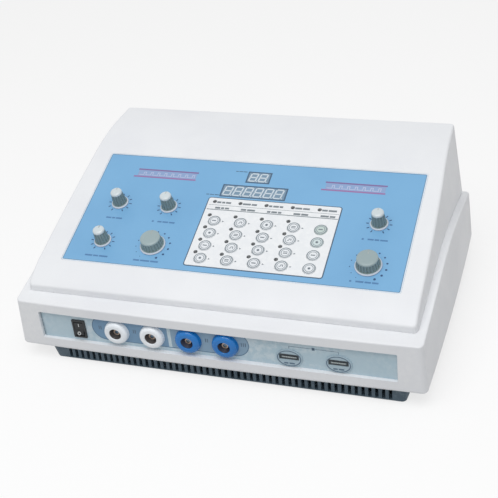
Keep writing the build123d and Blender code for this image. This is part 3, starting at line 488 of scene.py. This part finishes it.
# Makers of added pieces: each rides on a body.
def finishPiece(name, mesh, body, finish, smooth=False):
    data = bpy.data.meshes.new(name)
    mesh.to_mesh(data)
    mesh.free()
    for polygon in data.polygons:
        polygon.use_smooth = smooth
    piece = bpy.data.objects.new(name, data)
    bpy.context.scene.collection.objects.link(piece)
    data.materials.append(materials[finish])
    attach(piece, body)
    return piece


# a closed thin block between two loops of the same corners
def addBlock(mesh, lowPoints, highPoints):
    low = [mesh.verts.new(point) for point in lowPoints]
    high = [mesh.verts.new(point) for point in highPoints]
    mesh.faces.new(high)
    mesh.faces.new(list(reversed(low)))
    for index in range(len(low)):
        after = (index + 1) % len(low)
        mesh.faces.new((low[index], low[after], high[after], high[index]))


# Printed marks: outlines in the flat, put on a surface by place and a little thick.
printLayer = 0.04


def printMarks(name, outlines, place, lift, body, finish, thickness=printLayer):
    mesh = bmesh.new()
    for outline in outlines:
        low = [place(across, up, lift) for across, up in outline]
        high = [place(across, up, lift + thickness) for across, up in outline]
        addBlock(mesh, low, high)
    bmesh.ops.recalc_face_normals(mesh, faces=mesh.faces)
    return finishPiece(name, mesh, body, finish)


def bar(left, low, right, high):
    return [(left, low), (right, low), (right, high), (left, high)]


def middleBar(across, up, halfWidth, halfHeight):
    return bar(across - halfWidth, up - halfHeight, across + halfWidth, up + halfHeight)


# a row of short bars in the place of a line of words
def dashes(left, right, middle, height, shares, gap=0.9):
    free = right - left - gap * (len(shares) - 1)
    row = []
    for share in shares:
        length = free * share / sum(shares)
        row.append(bar(left, middle - height / 2, left + length, middle + height / 2))
        left += length + gap
    return row


def oval(across, up, halfWidth, halfHeight, corners=40):
    turns = [math.tau * index / corners for index in range(corners)]
    return [(across + halfWidth * math.cos(t), up + halfHeight * math.sin(t)) for t in turns]


def dot(across, up, radius, corners=20):
    return oval(across, up, radius, radius, corners)


# a closed band between two loops, as four-cornered outlines
def band(outer, inner):
    count = len(outer)
    after = [(index + 1) % count for index in range(count)]
    return [[outer[i], outer[after[i]], inner[after[i]], inner[i]] for i in range(count)]


def ring(across, up, outerRadius, innerRadius, corners=40):
    return band(dot(across, up, outerRadius, corners), dot(across, up, innerRadius, corners))


def roundedLoop(left, low, right, high, radius, steps=6):
    corners = [
        (right - radius, low + radius, -90),
        (right - radius, high - radius, 0),
        (left + radius, high - radius, 90),
        (left + radius, low + radius, 180),
    ]
    loop = []
    for across, up, start in corners:
        for step in range(steps + 1):
            angle = math.radians(start + 90 * step / steps)
            loop.append((across + radius * math.cos(angle), up + radius * math.sin(angle)))
    return loop


# A turned piece: a profile of radius and height, spun round an axis. Where the profile ends on its
# own first point, the piece closes on itself.
def turnedPiece(name, profile, centre, axis, body, finish, sides=56):
    axis = axis.normalized()
    across = axis.orthogonal().normalized()
    other = axis.cross(across)
    turns = [math.tau * index / sides for index in range(sides)]
    around = [across * math.cos(turn) + other * math.sin(turn) for turn in turns]
    closes = profile[0] == profile[-1]
    mesh = bmesh.new()
    rings = []
    for radius, height in profile[:-1] if closes else profile:
        base = centre + axis * (height * mm)
        if radius == 0:
            rings.append([mesh.verts.new(base)])
        else:
            rings.append([mesh.verts.new(base + way * (radius * mm)) for way in around])
    if closes:
        rings.append(rings[0])
    for first, second in zip(rings, rings[1:]):
        for index in range(sides):
            after = (index + 1) % sides
            corners = [
                first[index % len(first)], first[after % len(first)],
                second[after % len(second)], second[index % len(second)],
            ]
            mesh.faces.new(list(dict.fromkeys(corners)))
    bmesh.ops.recalc_face_normals(mesh, faces=mesh.faces)
    return finishPiece(name, mesh, body, finish, smooth=True)


# left, low, right and high of places on the slope
def flatBox(places):
    across, up = zip(*places)
    return min(across), min(up), max(across), max(up)


# The control sheet and its printed edge band, a little below the slope. The darker line inside the band is painted
# shade of the pocket's rim.
sheetTop = -0.1
sheetPrint = {"corner": 2.2, "cornerShrink": 0.7, "edge": 0.9, "line": 0.75, "inset": 0.05}
halfSheet = (overlayHigh.x - overlayLow.x) / 2 / mm
sheetLength = max(slopePlace(v.co)[1] for v in nodes["control_overlay"].data.vertices)


def sheetLoop(inset):
    corner = sheetPrint["corner"] - inset * sheetPrint["cornerShrink"]
    return roundedLoop(-halfSheet + inset, inset, halfSheet - inset, sheetLength - inset, corner)


lineStart = sheetPrint["inset"] + sheetPrint["edge"]
edgeBand = band(sheetLoop(sheetPrint["inset"]), sheetLoop(lineStart))
edgeShadeBand = band(sheetLoop(lineStart), sheetLoop(lineStart + sheetPrint["line"]))

# strokes round a small knob, dots that grow clockwise round a large one
dial = {
    "sweep": 150, "strokeStep": 30, "stroke": (9.8, 12.3), "strokeHalf": 0.55,
    "dotStep": 25, "dotReach": 17.0, "dotRadius": (0.4, 1.25),
}
knobJoints = [joint for name, joint in joints.items() if "knob" in name]
knobPlaces = {joint["name"].removesuffix("_turn"): slopePlace(joint["pos_m"]) for joint in knobJoints}


# a point beside a knob: turned clockwise from the top, out by reach and sideways by aside
def besideKnob(centre, turn, reach, aside=0.0):
    side, ahead = math.sin(math.radians(turn)), math.cos(math.radians(turn))
    return centre[0] + side * reach + ahead * aside, centre[1] + ahead * reach - side * aside


def strokesRound(centre):
    (near, far), half = dial["stroke"], dial["strokeHalf"]
    corners = ((near, -half), (near, half), (far, half), (far, -half))
    turns = range(-dial["sweep"], dial["sweep"] + 1, dial["strokeStep"])
    return [[besideKnob(centre, turn, reach, aside) for reach, aside in corners] for turn in turns]


def dotsRound(centre):
    least, most = dial["dotRadius"]
    dots = []
    for turn in range(-dial["sweep"], dial["sweep"] + 1, dial["dotStep"]):
        growth = (turn + dial["sweep"]) / (dial["sweep"] * 2)
        dots.append(dot(*besideKnob(centre, turn, dial["dotReach"]), least + (most - least) * growth))
    return dots


# a rule of short bars stands where a knob's name would be, with a square before some
knobLabels = {
    "small_knob_1": {"drop": 20.1, "reach": (-8.0, 9.2), "shares": (5, 3, 6)},
    "small_knob_2": {"drop": 20.1, "reach": (-5.6, 12.6), "shares": (3, 4, 4), "square": -10.5},
    "small_knob_3": {"drop": 19.1, "reach": (-12.0, 12.0), "shares": (6, 4, 7)},
    "large_knob_1": {"drop": 19.6, "reach": (-13.8, 12.0), "shares": (4, 6, 5)},
    "small_knob_4": {"drop": 19.6, "reach": (-7.0, 11.8), "shares": (4, 3, 5), "square": -11.6},
    "large_knob_2": {"drop": 19.1, "reach": (-8.0, 13.0), "shares": (5, 4, 4), "square": -12.7},
}
labelHeight = 1.9
squareHalf = 1.0
dialMarks = []
labelMarks = []
for name, centre in knobPlaces.items():
    dialMarks += strokesRound(centre) if name.startswith("small") else dotsRound(centre)
    label = knobLabels[name]
    middle = centre[1] - label["drop"]
    left, right = (centre[0] + reach for reach in label["reach"])
    labelMarks += dashes(left, right, middle, labelHeight, label["shares"])
    if "square" in label:
        labelMarks.append(middleBar(centre[0] + label["square"], middle, squareHalf, squareHalf))

# two strips with a row of pulses between two rules, one each side of the displays
strips = {
    "places": ((-128.5, -62.5), (70.0, 131.0)), "low": 115.0, "high": 126.8, "inset": 1.0,
    "rule": 1.8, "lowRuleShift": (-2.5, -0.5),
    "pulseBase": 3.2, "pulseHeight": 4.4, "pulseStep": 7.6, "mark": 0.62, "stroke": 0.7, "end": 2.5,
}
stripBands = []
highRules = []
lowRules = []
pulses = []
for start, stop in strips["places"]:
    low, high, rule = strips["low"], strips["high"], strips["rule"]
    startShift, stopShift = strips["lowRuleShift"]
    stripBands.append(bar(start + strips["inset"], low, stop - strips["inset"], high))
    highRules.append(bar(start, high - rule, stop, high))
    lowRules.append(bar(start + startShift, low, stop + stopShift, low + rule))
    base, stroke = low + strips["pulseBase"], strips["stroke"]
    top = base + strips["pulseHeight"]
    across = start + strips["end"]
    while across + strips["pulseStep"] < stop - strips["end"]:
        rise, fall = across + strips["pulseStep"] * strips["mark"], across + strips["pulseStep"]
        pulses.append(bar(across, base, rise, base + stroke))
        pulses.append(bar(rise, base, rise + stroke, top))
        pulses.append(bar(rise + stroke, top - stroke, fall, top))
        pulses.append(bar(fall - stroke, base, fall, top - stroke))
        across = fall
slopePrints = (
    ("sheet_edge_print", edgeBand, 0.0, "sheetEdgePrint"),
    ("sheet_line_print", edgeShadeBand, 0.0, "sheetLinePrint"),
    ("dial_prints", dialMarks, 0.0, "dialMarkPrint"),
    ("knob_labels", labelMarks, 0.0, "labelPrint"),
    ("pulse_strip_bands", stripBands, 0.0, "stripPrint"),
    ("pulse_strip_high_rules", highRules, printLayer, "strongRulePrint"),
    ("pulse_strip_low_rules", lowRules, printLayer, "roseRulePrint"),
    ("pulse_lines", pulses, printLayer, "pulsePrint"),
)
for name, outlines, lift, finish in slopePrints:
    printMarks(name, outlines, onSlope, sheetTop + lift, "case", finish)
print("control sheet printed")

# The displays: a dark frame, a leader and unlit segments. Each digit leans by the slant. Its bars stop
# short of the corners by a share of their stroke, and a point stands behind it.
display = {
    "frame": 1.35, "frameOver": 0.1, "frameCorners": (1.2, 0.6), "frameThickness": 0.06,
    "slant": 0.16, "stroke": 1.55, "barEnd": 0.7, "uprightStarts": (0.6, 0.1),
    "side": 0.3, "foot": 0.5, "point": {"gap": 0.2, "width": 1.04, "height": 1.3, "room": 1.56},
    "leaderHeight": 0.9, "leaderGap": 0.6, "leaderShares": (2, 3, 3),
    "upper": {"digits": 2, "leader": (13.5, 1.6), "leaderUp": 6.8},
    "lower": {"digits": 6, "leader": (14.0, 0.6), "leaderUp": -6.6},
}
windowCorners = [slopePlace(v.co) for v in nodes["display_windows"].data.vertices]
windowMiddle = sum(up for across, up in windowCorners) / len(windowCorners)


# the bars and the point of an upright digit
def digitShapes(broad, tall):
    stroke, point, half = display["stroke"], display["point"], tall / 2
    end = stroke * display["barEnd"]
    levels = (0, half - stroke / 2, tall - stroke)
    shapes = [bar(end, level, broad - end, level + stroke) for level in levels]
    lowStart, highStart = display["uprightStarts"]
    for side in (0, broad - stroke):
        for level in (stroke * lowStart, half + stroke * highStart):
            shapes.append(bar(side, level, side + stroke, level + half - end))
    pointLeft = broad + point["gap"]
    shapes.append(bar(pointLeft, 0, pointLeft + point["width"], point["height"]))
    return shapes


frames = []
leaders = []
segments = []
for place in ("upper", "lower"):
    window, wide, slant = display[place], display["frame"], display["slant"]
    left, low, right, high = flatBox(c for c in windowCorners if (c[1] > windowMiddle) == (place == "upper"))
    over, (outerCorner, innerCorner) = display["frameOver"], display["frameCorners"]
    outer = roundedLoop(left - over, low - over, right + over, high + over, outerCorner)
    inner = roundedLoop(left + wide, low + wide, right - wide, high - wide, innerCorner)
    frames += band(outer, inner)
    far, near = window["leader"]
    level = (low + high) / 2 + window["leaderUp"]
    leaders += dashes(
        left - far, left - near, level, display["leaderHeight"], display["leaderShares"],
        display["leaderGap"],
    )
    tall = high - low - (wide + display["foot"]) * 2
    pitch = (right - left - wide * 2 - slant * tall) / window["digits"]
    shapes = digitShapes(pitch - display["point"]["room"], tall)
    for digit in range(window["digits"]):
        start, base = left + wide + display["side"] + pitch * digit, low + wide + display["foot"]
        segments += [[(start + u + v * slant, base + v) for u, v in shape] for shape in shapes]
displayPrints = (
    ("display_frames", frames, "displayFramePrint", "window_smoke", display["frameThickness"]),
    ("display_leaders", leaders, "displayFramePrint", "overlay_blue", printLayer),
    ("display_segments", segments, "segmentPrint", "window_smoke", printLayer),
)
for name, outlines, finish, slot, thickness in displayPrints:
    printMarks(name, outlines, onSlope, sheetTop, "case", finish, thickness)
print("displays dressed")

# The keypad: its outline, a heading strip with rules and words, a rim round each lamp, and an arrow
# beside each key of the first four columns. The membrane's top and the keys' tops stand over the slope.
padTop = 0.2
keyTop = 0.7
pad = {
    "corner": 2.1, "gap": 0.1, "outline": 1.0, "lampLeft": 6.8, "lampUp": 7.1, "headUp": 24.7,
    "lampRim": (2.05, 1.62), "rimCorners": 24, "wordStart": 2.6, "wordEnd": 17.0, "firstDrop": 5.3,
    "secondDrop": 12.6, "wordHeight": 2.3, "arrowReach": 9.0, "arrow": 1.0,
    "strongRule": {"drop": 15.4, "height": 0.9, "ends": (1.2, 0.6)},
    "fineRule": {"drop": 9.2, "height": 0.4, "ends": (1.8, 0.8)},
}
wordShares = ((4, 3, 5), (6, 4), (3, 5, 3), (5, 5), (4, 6))
padLeft, padLow, padRight, padHigh = flatBox(
    slopePlace(v.co) for v in nodes["keypad_membrane"].data.vertices
)
keyPlaces = {name: topMiddle(name) for name in nodes if name.startswith("key_") and name[4:].isdigit()}
topRow = sorted(place for name, place in keyPlaces.items() if int(name[-2:]) <= len(wordShares))


def padLoop(reach):
    grown = pad["gap"] + reach
    return roundedLoop(
        padLeft - grown, padLow - grown, padRight + grown, padHigh + grown, pad["corner"] + reach
    )


def padRule(rule):
    low = padHigh - rule["drop"]
    leftEnd, rightEnd = rule["ends"]
    return bar(padLeft + leftEnd, low, padRight - rightEnd, low + rule["height"])


padWords = []
for (across, up), shares in zip(topRow, wordShares):
    lamp = across - pad["lampLeft"]
    left, right = lamp + pad["wordStart"], lamp + pad["wordEnd"]
    padWords += dashes(left, right, padHigh - pad["firstDrop"], pad["wordHeight"], shares)
    padWords += dashes(left, right, padHigh - pad["secondDrop"], pad["wordHeight"], shares[::-1])
lampPlaces = [(across - pad["lampLeft"], up + pad["headUp"]) for across, up in topRow]
for name, (across, up) in keyPlaces.items():
    if int(name[-2:]) % len(wordShares):
        lampPlaces.append((across - pad["lampLeft"], up + pad["lampUp"]))
        tip, size = across + pad["arrowReach"], pad["arrow"]
        padWords.append([(tip - size, up - size), (tip + size, up), (tip - size, up + size)])
lampRims = [shape for place in lampPlaces for shape in ring(*place, *pad["lampRim"], pad["rimCorners"])]
outline = band(padLoop(pad["outline"]), padLoop(0.0))
padRules = [padRule(pad["strongRule"]), padRule(pad["fineRule"])]
printMarks("keypad_outline", outline, onSlope, sheetTop, "case", "keypadEdgePrint")
printMarks("lamp_rims", lampRims, onSlope, padTop, "case", "lampRimPrint")
printMarks("keypad_rules", padRules, onSlope, padTop, "case", "keypadLinePrint")
printMarks("keypad_prints", padWords, onSlope, padTop, "case", "keypadTextPrint")

# each key has two rings and a small mark, a bar, a pulse, a dot or a pair of bars in turn
keyPrint = {"outer": (5.95, 5.0), "inner": (4.2, 3.6), "thickness": 0.03}
keyMarks = (
    [bar(-2.1, -0.6, 2.1, 0.6)],
    [
        bar(-2.1, -1.2, -0.4, -0.5), bar(-0.7, -0.5, 0.0, 1.3),
        bar(0.0, 0.6, 1.4, 1.3), bar(1.2, -1.2, 1.9, 1.3),
    ],
    [dot(0, 0, 1.3)],
    [bar(-2.1, 0.4, 2.1, 1.3), bar(-2.1, -1.3, 2.1, -0.4)],
)
for order, (name, (across, up)) in enumerate(sorted(keyPlaces.items())):
    rings = ring(across, up, *keyPrint["outer"]) + ring(across, up, *keyPrint["inner"])
    shapes = keyMarks[(order + order // len(wordShares)) % len(keyMarks)]
    marks = [[(across + u, up + v) for u, v in shape] for shape in shapes]
    for ending, outlines, finish in (("_rings", rings, "keyRingPrint"), ("_mark", marks, "keyMarkPrint")):
        printMarks(name + ending, outlines, onSlope, keyTop, name, finish, keyPrint["thickness"])
print("keypad dressed:", len(keyPlaces), "keys")

# knob caps: domed, with a pointer line that runs down from near the crown
caps = {
    "small": {"radius": 5.85, "height": 2.86, "roundness": 0.62},
    "large": {"radius": 9.95, "height": 2.5, "roundness": 0.5},
}
capSteps = 12
capPointer = {"half": 0.45, "sink": 0.05, "stand": 0.06, "endStep": 2}


# the dome's outline from its rim to its crown; a lower roundness gives a squarer shoulder
def domeProfile(cap):
    turns = [math.pi / 2 * step / capSteps for step in range(capSteps)]
    power = cap["roundness"]
    rim = [(cap["radius"] * math.cos(t) ** power, cap["height"] * math.sin(t) ** power) for t in turns]
    return rim + [(0, cap["height"])]


for name, (across, up) in knobPlaces.items():
    size, number = name.split("_knob_")
    capName = f"{size}_knob_cap_{number}"
    foot = min((v.co - slopeFoot).dot(slopeNormal) / mm for v in nodes[capName].data.vertices)
    profile = domeProfile(caps[size])
    centre = onSlope(across, up, foot)
    cap = turnedPiece(
        capName + "_domed", profile, centre, slopeNormal, name, f"{size}CapPlastic"
    )
    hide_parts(capName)
    half, sink, stand = capPointer["half"], capPointer["sink"], capPointer["stand"]
    down = profile[-2:capPointer["endStep"] - 1:-1]
    mesh = bmesh.new()
    for (nearRadius, nearHeight), (farRadius, farHeight) in zip(down, down[1:]):
        corners = [
            (-half, nearRadius, nearHeight), (half, nearRadius, nearHeight),
            (half, farRadius, farHeight), (-half, farRadius, farHeight),
        ]
        low = [onSlope(across + side, up + reach, foot + level - sink) for side, reach, level in corners]
        high = [onSlope(across + side, up + reach, foot + level + stand) for side, reach, level in corners]
        addBlock(mesh, low, high)
    bmesh.ops.recalc_face_normals(mesh, faces=mesh.faces)
    finishPiece(capName + "_pointer", mesh, name, "capLinePlastic")
print("knobs capped:", len(knobPlaces))

# The front plate: a printed surround behind the sockets, split between the white and the blue pair.
mounts = {mount["name"]: mount for mount in frame["record"]["mounts"]}
socketPlaces = []
for number in (1, 2, 3, 4):
    place = mounts[f"output_socket_{number}"]["pos_m"]
    socketPlaces.append((place[0] / mm, place[2] / mm))
surround = {
    "left": 26.0, "right": 23.0, "radius": 13.7, "rise": 2.3, "line": 0.8, "steps": 12,
    "split": 0.55, "splitGap": 1.1, "splitShift": -1.0, "joined": 0.01,
}
surroundMiddle = socketPlaces[0][1] + surround["rise"]
surroundLeft, surroundRight = socketPlaces[0][0] - surround["left"], socketPlaces[3][0] + surround["right"]
splitAt = (socketPlaces[1][0] + socketPlaces[2][0]) / 2 + surround["splitShift"]
gapHalf = surround["splitGap"] + surround["split"]
splitSide = (surround["splitGap"] + surround["split"]) / 2


def surroundLoop(inset):
    reach = surround["radius"] - inset
    return roundedLoop(
        surroundLeft + inset, surroundMiddle - reach, surroundRight - inset, surroundMiddle + reach,
        reach, surround["steps"],
    )


# drops corners that the split moved onto each other
def cleanLoop(loop):
    return [p for index, p in enumerate(loop) if math.dist(p, loop[index - 1]) > surround["joined"]]


fill = surroundLoop(surround["line"] / 2)
leftFill = cleanLoop([(min(across, splitAt - gapHalf), up) for across, up in fill])
rightFill = cleanLoop([(max(across, splitAt + gapHalf), up) for across, up in fill])
splitLines = [
    middleBar(splitAt + side, surroundMiddle, surround["split"] / 2, surround["radius"])
    for side in (-splitSide, splitSide)
]
edgeLine = band(surroundLoop(0.0), surroundLoop(surround["line"]))

# short upright bars beside the sockets, where the plate has its small signs
signs = {"height": 4.2, "width": 0.9, "pitch": 1.9, "before": 17.5, "after": 17.6}
signPlaces = (
    (socketPlaces[0][0] - signs["before"], 2), ((socketPlaces[0][0] + socketPlaces[1][0]) / 2, 2),
    ((socketPlaces[2][0] + socketPlaces[3][0]) / 2, 2), (socketPlaces[3][0] + signs["after"], 3),
)
signBars = []
for across, count in signPlaces:
    for index in range(count):
        middle = across + (index - (count - 1) / 2) * signs["pitch"]
        signBars.append(middleBar(middle, surroundMiddle, signs["width"] / 2, signs["height"] / 2))
platePrints = (
    ("socket_surround_left", [leftFill], 0.0, "surroundLeftPrint"),
    ("socket_surround_right", [rightFill], 0.0, "surroundRightPrint"),
    ("socket_surround_split", splitLines, 0.0, "splitLinePrint"),
    ("socket_surround_edge", edgeLine, printLayer, "surroundEdgePrint"),
    ("socket_signs", signBars, printLayer, "plateTextPrint"),
)
for name, outlines, lift, finish in platePrints:
    printMarks(name, outlines, onPlate, lift, "case", finish)

# dark cups in the socket mouths, each with a hole in its floor: painted shade for the shadow inside the mouths
mouthShade = {"depth": 5.4, "outer": 5.85, "wall": 0.25, "lip": 0.9, "floor": 0.35, "hole": 3.3, "gap": 0.05}
outer, inner = mouthShade["outer"], mouthShade["outer"] - mouthShade["wall"]
mouthShadeTop = mouthShade["depth"] - mouthShade["lip"]
mouthShadeProfile = [
    (outer, mouthShade["gap"]), (outer, mouthShadeTop), (inner, mouthShadeTop), (inner, mouthShade["floor"]),
    (mouthShade["hole"], mouthShade["floor"]), (mouthShade["hole"], mouthShade["gap"]), (outer, mouthShade["gap"]),
]
outward = Vector((0, -1, 0))
for number, (across, up) in enumerate(socketPlaces, start=1):
    isWhite = number <= 2
    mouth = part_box("white_sockets" if isWhite else "blue_sockets")[0].y
    centre = Vector((across * mm, mouth + mouthShade["depth"] * mm, up * mm))
    finish = "socketLinerPlastic" if isWhite else "blueSocketLinerPlastic"
    turnedPiece(f"socket_mouth_shade_{number}", mouthShadeProfile, centre, outward, "case", finish)

# The probe sockets: a dark rim, words, a tongue with its pins, and a bracket that joins the two. The
# tongue and its pins reach below and above the slot's middle by shares of the tongue's thickness.
probe = {
    "rim": 0.9, "rimInset": 0.9, "rimCorners": 56, "halfWidth": 12.2,
    "tongueHalf": 7.0, "tongue": 1.0, "tongueReach": (1.0, 0.4), "tongueStand": 0.4,
    "pins": 8, "pinPitch": 1.6, "pinHalf": 0.3, "pinReach": (0.8, 0.2), "pinStand": 0.05,
    "wordHalf": 5.0, "wordDrop": 5.4, "wordHeight": 1.6, "wordShares": (4, 5),
    "bracketRise": 12.6, "bracketLine": 0.45, "bracketGap": 0.6, "bracketPlate": (1.3, 1.5),
}
shellLow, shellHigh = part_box("probe_socket_shells")
insertLow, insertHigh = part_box("probe_socket_inserts")
probeMiddle = (shellLow.z + shellHigh.z) / 2 / mm
probeHalf = (shellHigh.z - shellLow.z) / 2 / mm
probeAcross = (shellLow.x / mm + probe["halfWidth"], shellHigh.x / mm - probe["halfWidth"])
shellFace = (plateLow.y - shellLow.y) / mm
insertFace = (plateLow.y - insertLow.y) / mm
slotMiddle = (insertLow.z + insertHigh.z) / 2 / mm


# a bar in the slot, as high as the reach's shares of the tongue's thickness
def slotBar(across, half, reach):
    below, above = (share * probe["tongue"] for share in reach)
    return bar(across - half, slotMiddle - below, across + half, slotMiddle + above)


rims = []
tongues = []
pinLines = []
words = []
bracketTop = probeMiddle + probe["bracketRise"]
bracketLeft, bracketRight = probeAcross
bracket = [
    bar(bracketLeft, bracketTop, bracketRight, bracketTop + probe["bracketLine"]),
    middleBar((bracketLeft + bracketRight) / 2, bracketTop, *probe["bracketPlate"]),
]
for across in probeAcross:
    outerRim, innerRim = (
        oval(across, probeMiddle, probe["halfWidth"] - inset, probeHalf - inset, probe["rimCorners"])
        for inset in (probe["rimInset"], probe["rimInset"] + probe["rim"])
    )
    rims += band(outerRim, innerRim)
    tongues.append(slotBar(across, probe["tongueHalf"], probe["tongueReach"]))
    for index in range(probe["pins"]):
        middle = across + (index - (probe["pins"] - 1) / 2) * probe["pinPitch"]
        pinLines.append(slotBar(middle, probe["pinHalf"], probe["pinReach"]))
    left, right = across - probe["wordHalf"], across + probe["wordHalf"]
    words += dashes(left, right, probeMiddle - probe["wordDrop"], probe["wordHeight"], probe["wordShares"])
    foot = probeMiddle + probeHalf + probe["bracketGap"]
    bracket.append(bar(across, foot, across + probe["bracketLine"], bracketTop))
pinFace = insertFace + probe["tongueStand"]
probePrints = (
    ("probe_rims", rims, shellFace, "plateTextPrint", "plate_grey_blue", printLayer),
    ("probe_words", words, shellFace, "plateTextPrint", "plate_grey_blue", printLayer),
    ("probe_tongues", tongues, insertFace, "greyMouldedPlastic", "insert_dark", probe["tongueStand"]),
    ("probe_pins", pinLines, pinFace, "nickelPlate", "nut_nickel", probe["pinStand"]),
    ("probe_bracket", bracket, 0.0, "plateTextPrint", "plate_grey_blue", printLayer),
)
for name, outlines, lift, finish, slot, thickness in probePrints:
    printMarks(name, outlines, onPlate, lift, "case", finish, thickness)
print("front plate dressed")

# The power switch: I and O on the rocker's two faces, which meet at its fold.
rockerMarks = {"at": 4.3, "line": (0.35, 1.7), "ring": (1.75, 1.1), "faceFrom": 2.0}
rockerPivot = Vector(joints["rocker_tip"]["pos_m"])
rockerSwing = math.radians(max(joints["rocker_tip"]["range_deg"]))
faceFrom = rockerPivot.z + rockerMarks["faceFrom"] * mm
rockerFace = min(v.co.y for v in nodes["switch_rocker"].data.vertices if v.co.z > faceFrom)
rockerFold = Vector((rockerPivot.x, rockerFace, rockerPivot.z))


def onUpperRocker(across, up, lift):
    return rockerFold + Vector((across, -lift, up)) * mm


def onLowerRocker(across, up, lift):
    along = Vector((0, math.sin(rockerSwing), math.cos(rockerSwing)))
    faceOut = Vector((0, -math.cos(rockerSwing), math.sin(rockerSwing)))
    return rockerFold + (Vector((across, 0, 0)) + along * up + faceOut * lift) * mm


line = middleBar(0, rockerMarks["at"], *rockerMarks["line"])
circle = ring(0, -rockerMarks["at"], *rockerMarks["ring"])
printMarks("rocker_on_mark", [line], onUpperRocker, 0.0, "rocker", "whiteMarkPrint")
printMarks("rocker_off_mark", circle, onLowerRocker, 0.0, "rocker", "whiteMarkPrint")
print("power switch marked")

# The floor shows partly its own white, and partly a matt face that keeps the object's shadow. The
# light that it throws back is greyer.
floorLook = {"size": 8.0, "tone": "#f4f4f4", "bounceTone": "#c8c8c8", "roughness": 0.9, "white": 0.72}
plainWhite = (1, 1, 1, 1)
stageMesh = bmesh.new()
bmesh.ops.create_grid(stageMesh, x_segments=4, y_segments=4, size=floorLook["size"] / 2)
floorData = bpy.data.meshes.new("floor")
stageMesh.to_mesh(floorData)
stageMesh.free()
floor = bpy.data.objects.new("floor", floorData)
bpy.context.scene.collection.objects.link(floor)


# 1 for rays of the camera and for those that metal and clear pieces send on, else 0
def backdropRays(tree):
    rays = tree.nodes.new("ShaderNodeLightPath")
    seen = mathNode(tree, "MAXIMUM", rays.outputs["Is Camera Ray"], rays.outputs["Is Glossy Ray"])
    return mathNode(tree, "MAXIMUM", seen, rays.outputs["Is Transmission Ray"])


# puts a share of plain white in front of a look, for those rays only
def addBackdrop(tree, look, white, share, output):
    blend = addNode(tree, "ShaderNodeMixShader", Fac=mathNode(tree, "MULTIPLY", backdropRays(tree), share))
    feed(tree, blend.inputs[1], look.outputs[0])
    feed(tree, blend.inputs[2], white.outputs[0])
    feed(tree, tree.nodes[output].inputs["Surface"], blend.outputs[0])


floorMaterial = bpy.data.materials.new("paleFloor")
floorMaterial.use_nodes = True
floorData.materials.append(floorMaterial)
tree = floorMaterial.node_tree
matt = tree.nodes["Principled BSDF"]
bounceTone, seenTone = paint(floorLook["bounceTone"]), paint(floorLook["tone"])
feed(tree, matt.inputs["Base Color"], mixColours(tree, backdropRays(tree), bounceTone, seenTone))
matt.inputs["Roughness"].default_value = floorLook["roughness"]
matt.inputs["Specular IOR Level"].default_value = 0.0
white = addNode(tree, "ShaderNodeEmission", Color=plainWhite, Strength=1.0)
addBackdrop(tree, matt, white, floorLook["white"], "Material Output")

# one wide soft lamp overhead, and an even sky
lightLook = {
    "sky": 0.53, "lamp": 13.8, "width": 1.3, "depth": 1.1, "place": (0.04, -0.6, 1.45),
    "target": (0, 0, 0.08),
}
world = bpy.data.worlds.new("studioSky")
bpy.context.scene.world = world
world.use_nodes = True
tree = world.node_tree
sky = tree.nodes["Background"]
sky.inputs["Color"].default_value = plainWhite
sky.inputs["Strength"].default_value = lightLook["sky"]
whiteSky = addNode(tree, "ShaderNodeBackground", Color=plainWhite, Strength=1.0)
addBackdrop(tree, sky, whiteSky, 1.0, "World Output")
softbox = bpy.data.lights.new("topSoftbox", "AREA")
softbox.shape = "RECTANGLE"
softbox.size = lightLook["width"]
softbox.size_y = lightLook["depth"]
softbox.energy = lightLook["lamp"]
lamp = bpy.data.objects.new("topSoftbox", softbox)
bpy.context.scene.collection.objects.link(lamp)
lamp.location = lightLook["place"]
lamp.rotation_euler = (Vector(lightLook["target"]) - lamp.location).to_track_quat("-Z", "Y").to_euler()

cameraLook = {
    "place": (0.3302, -0.84025, 0.6299), "turn": 21.683, "tilt": 32.185, "roll": -6.638,
    "lens": 76.674, "sensor": 36.0, "clip": (0.01, 20.0),
}
camera = bpy.data.objects.new("camera", bpy.data.cameras.new("camera"))
bpy.context.scene.collection.objects.link(camera)
camera.data.lens = cameraLook["lens"]
camera.data.sensor_width = cameraLook["sensor"]
camera.data.clip_start, camera.data.clip_end = cameraLook["clip"]
camera.location = cameraLook["place"]
turn = Matrix.Rotation(math.radians(cameraLook["turn"]), 3, "Z")
tilt = Matrix.Rotation(math.radians(90 - cameraLook["tilt"]), 3, "X")
roll = Matrix.Rotation(math.radians(cameraLook["roll"]), 3, "Z")
camera.rotation_euler = (turn @ tilt @ roll).to_euler()
bpy.context.scene.camera = camera
bpy.context.scene.view_settings.view_transform = "Standard"
print("stage, lights and camera set")
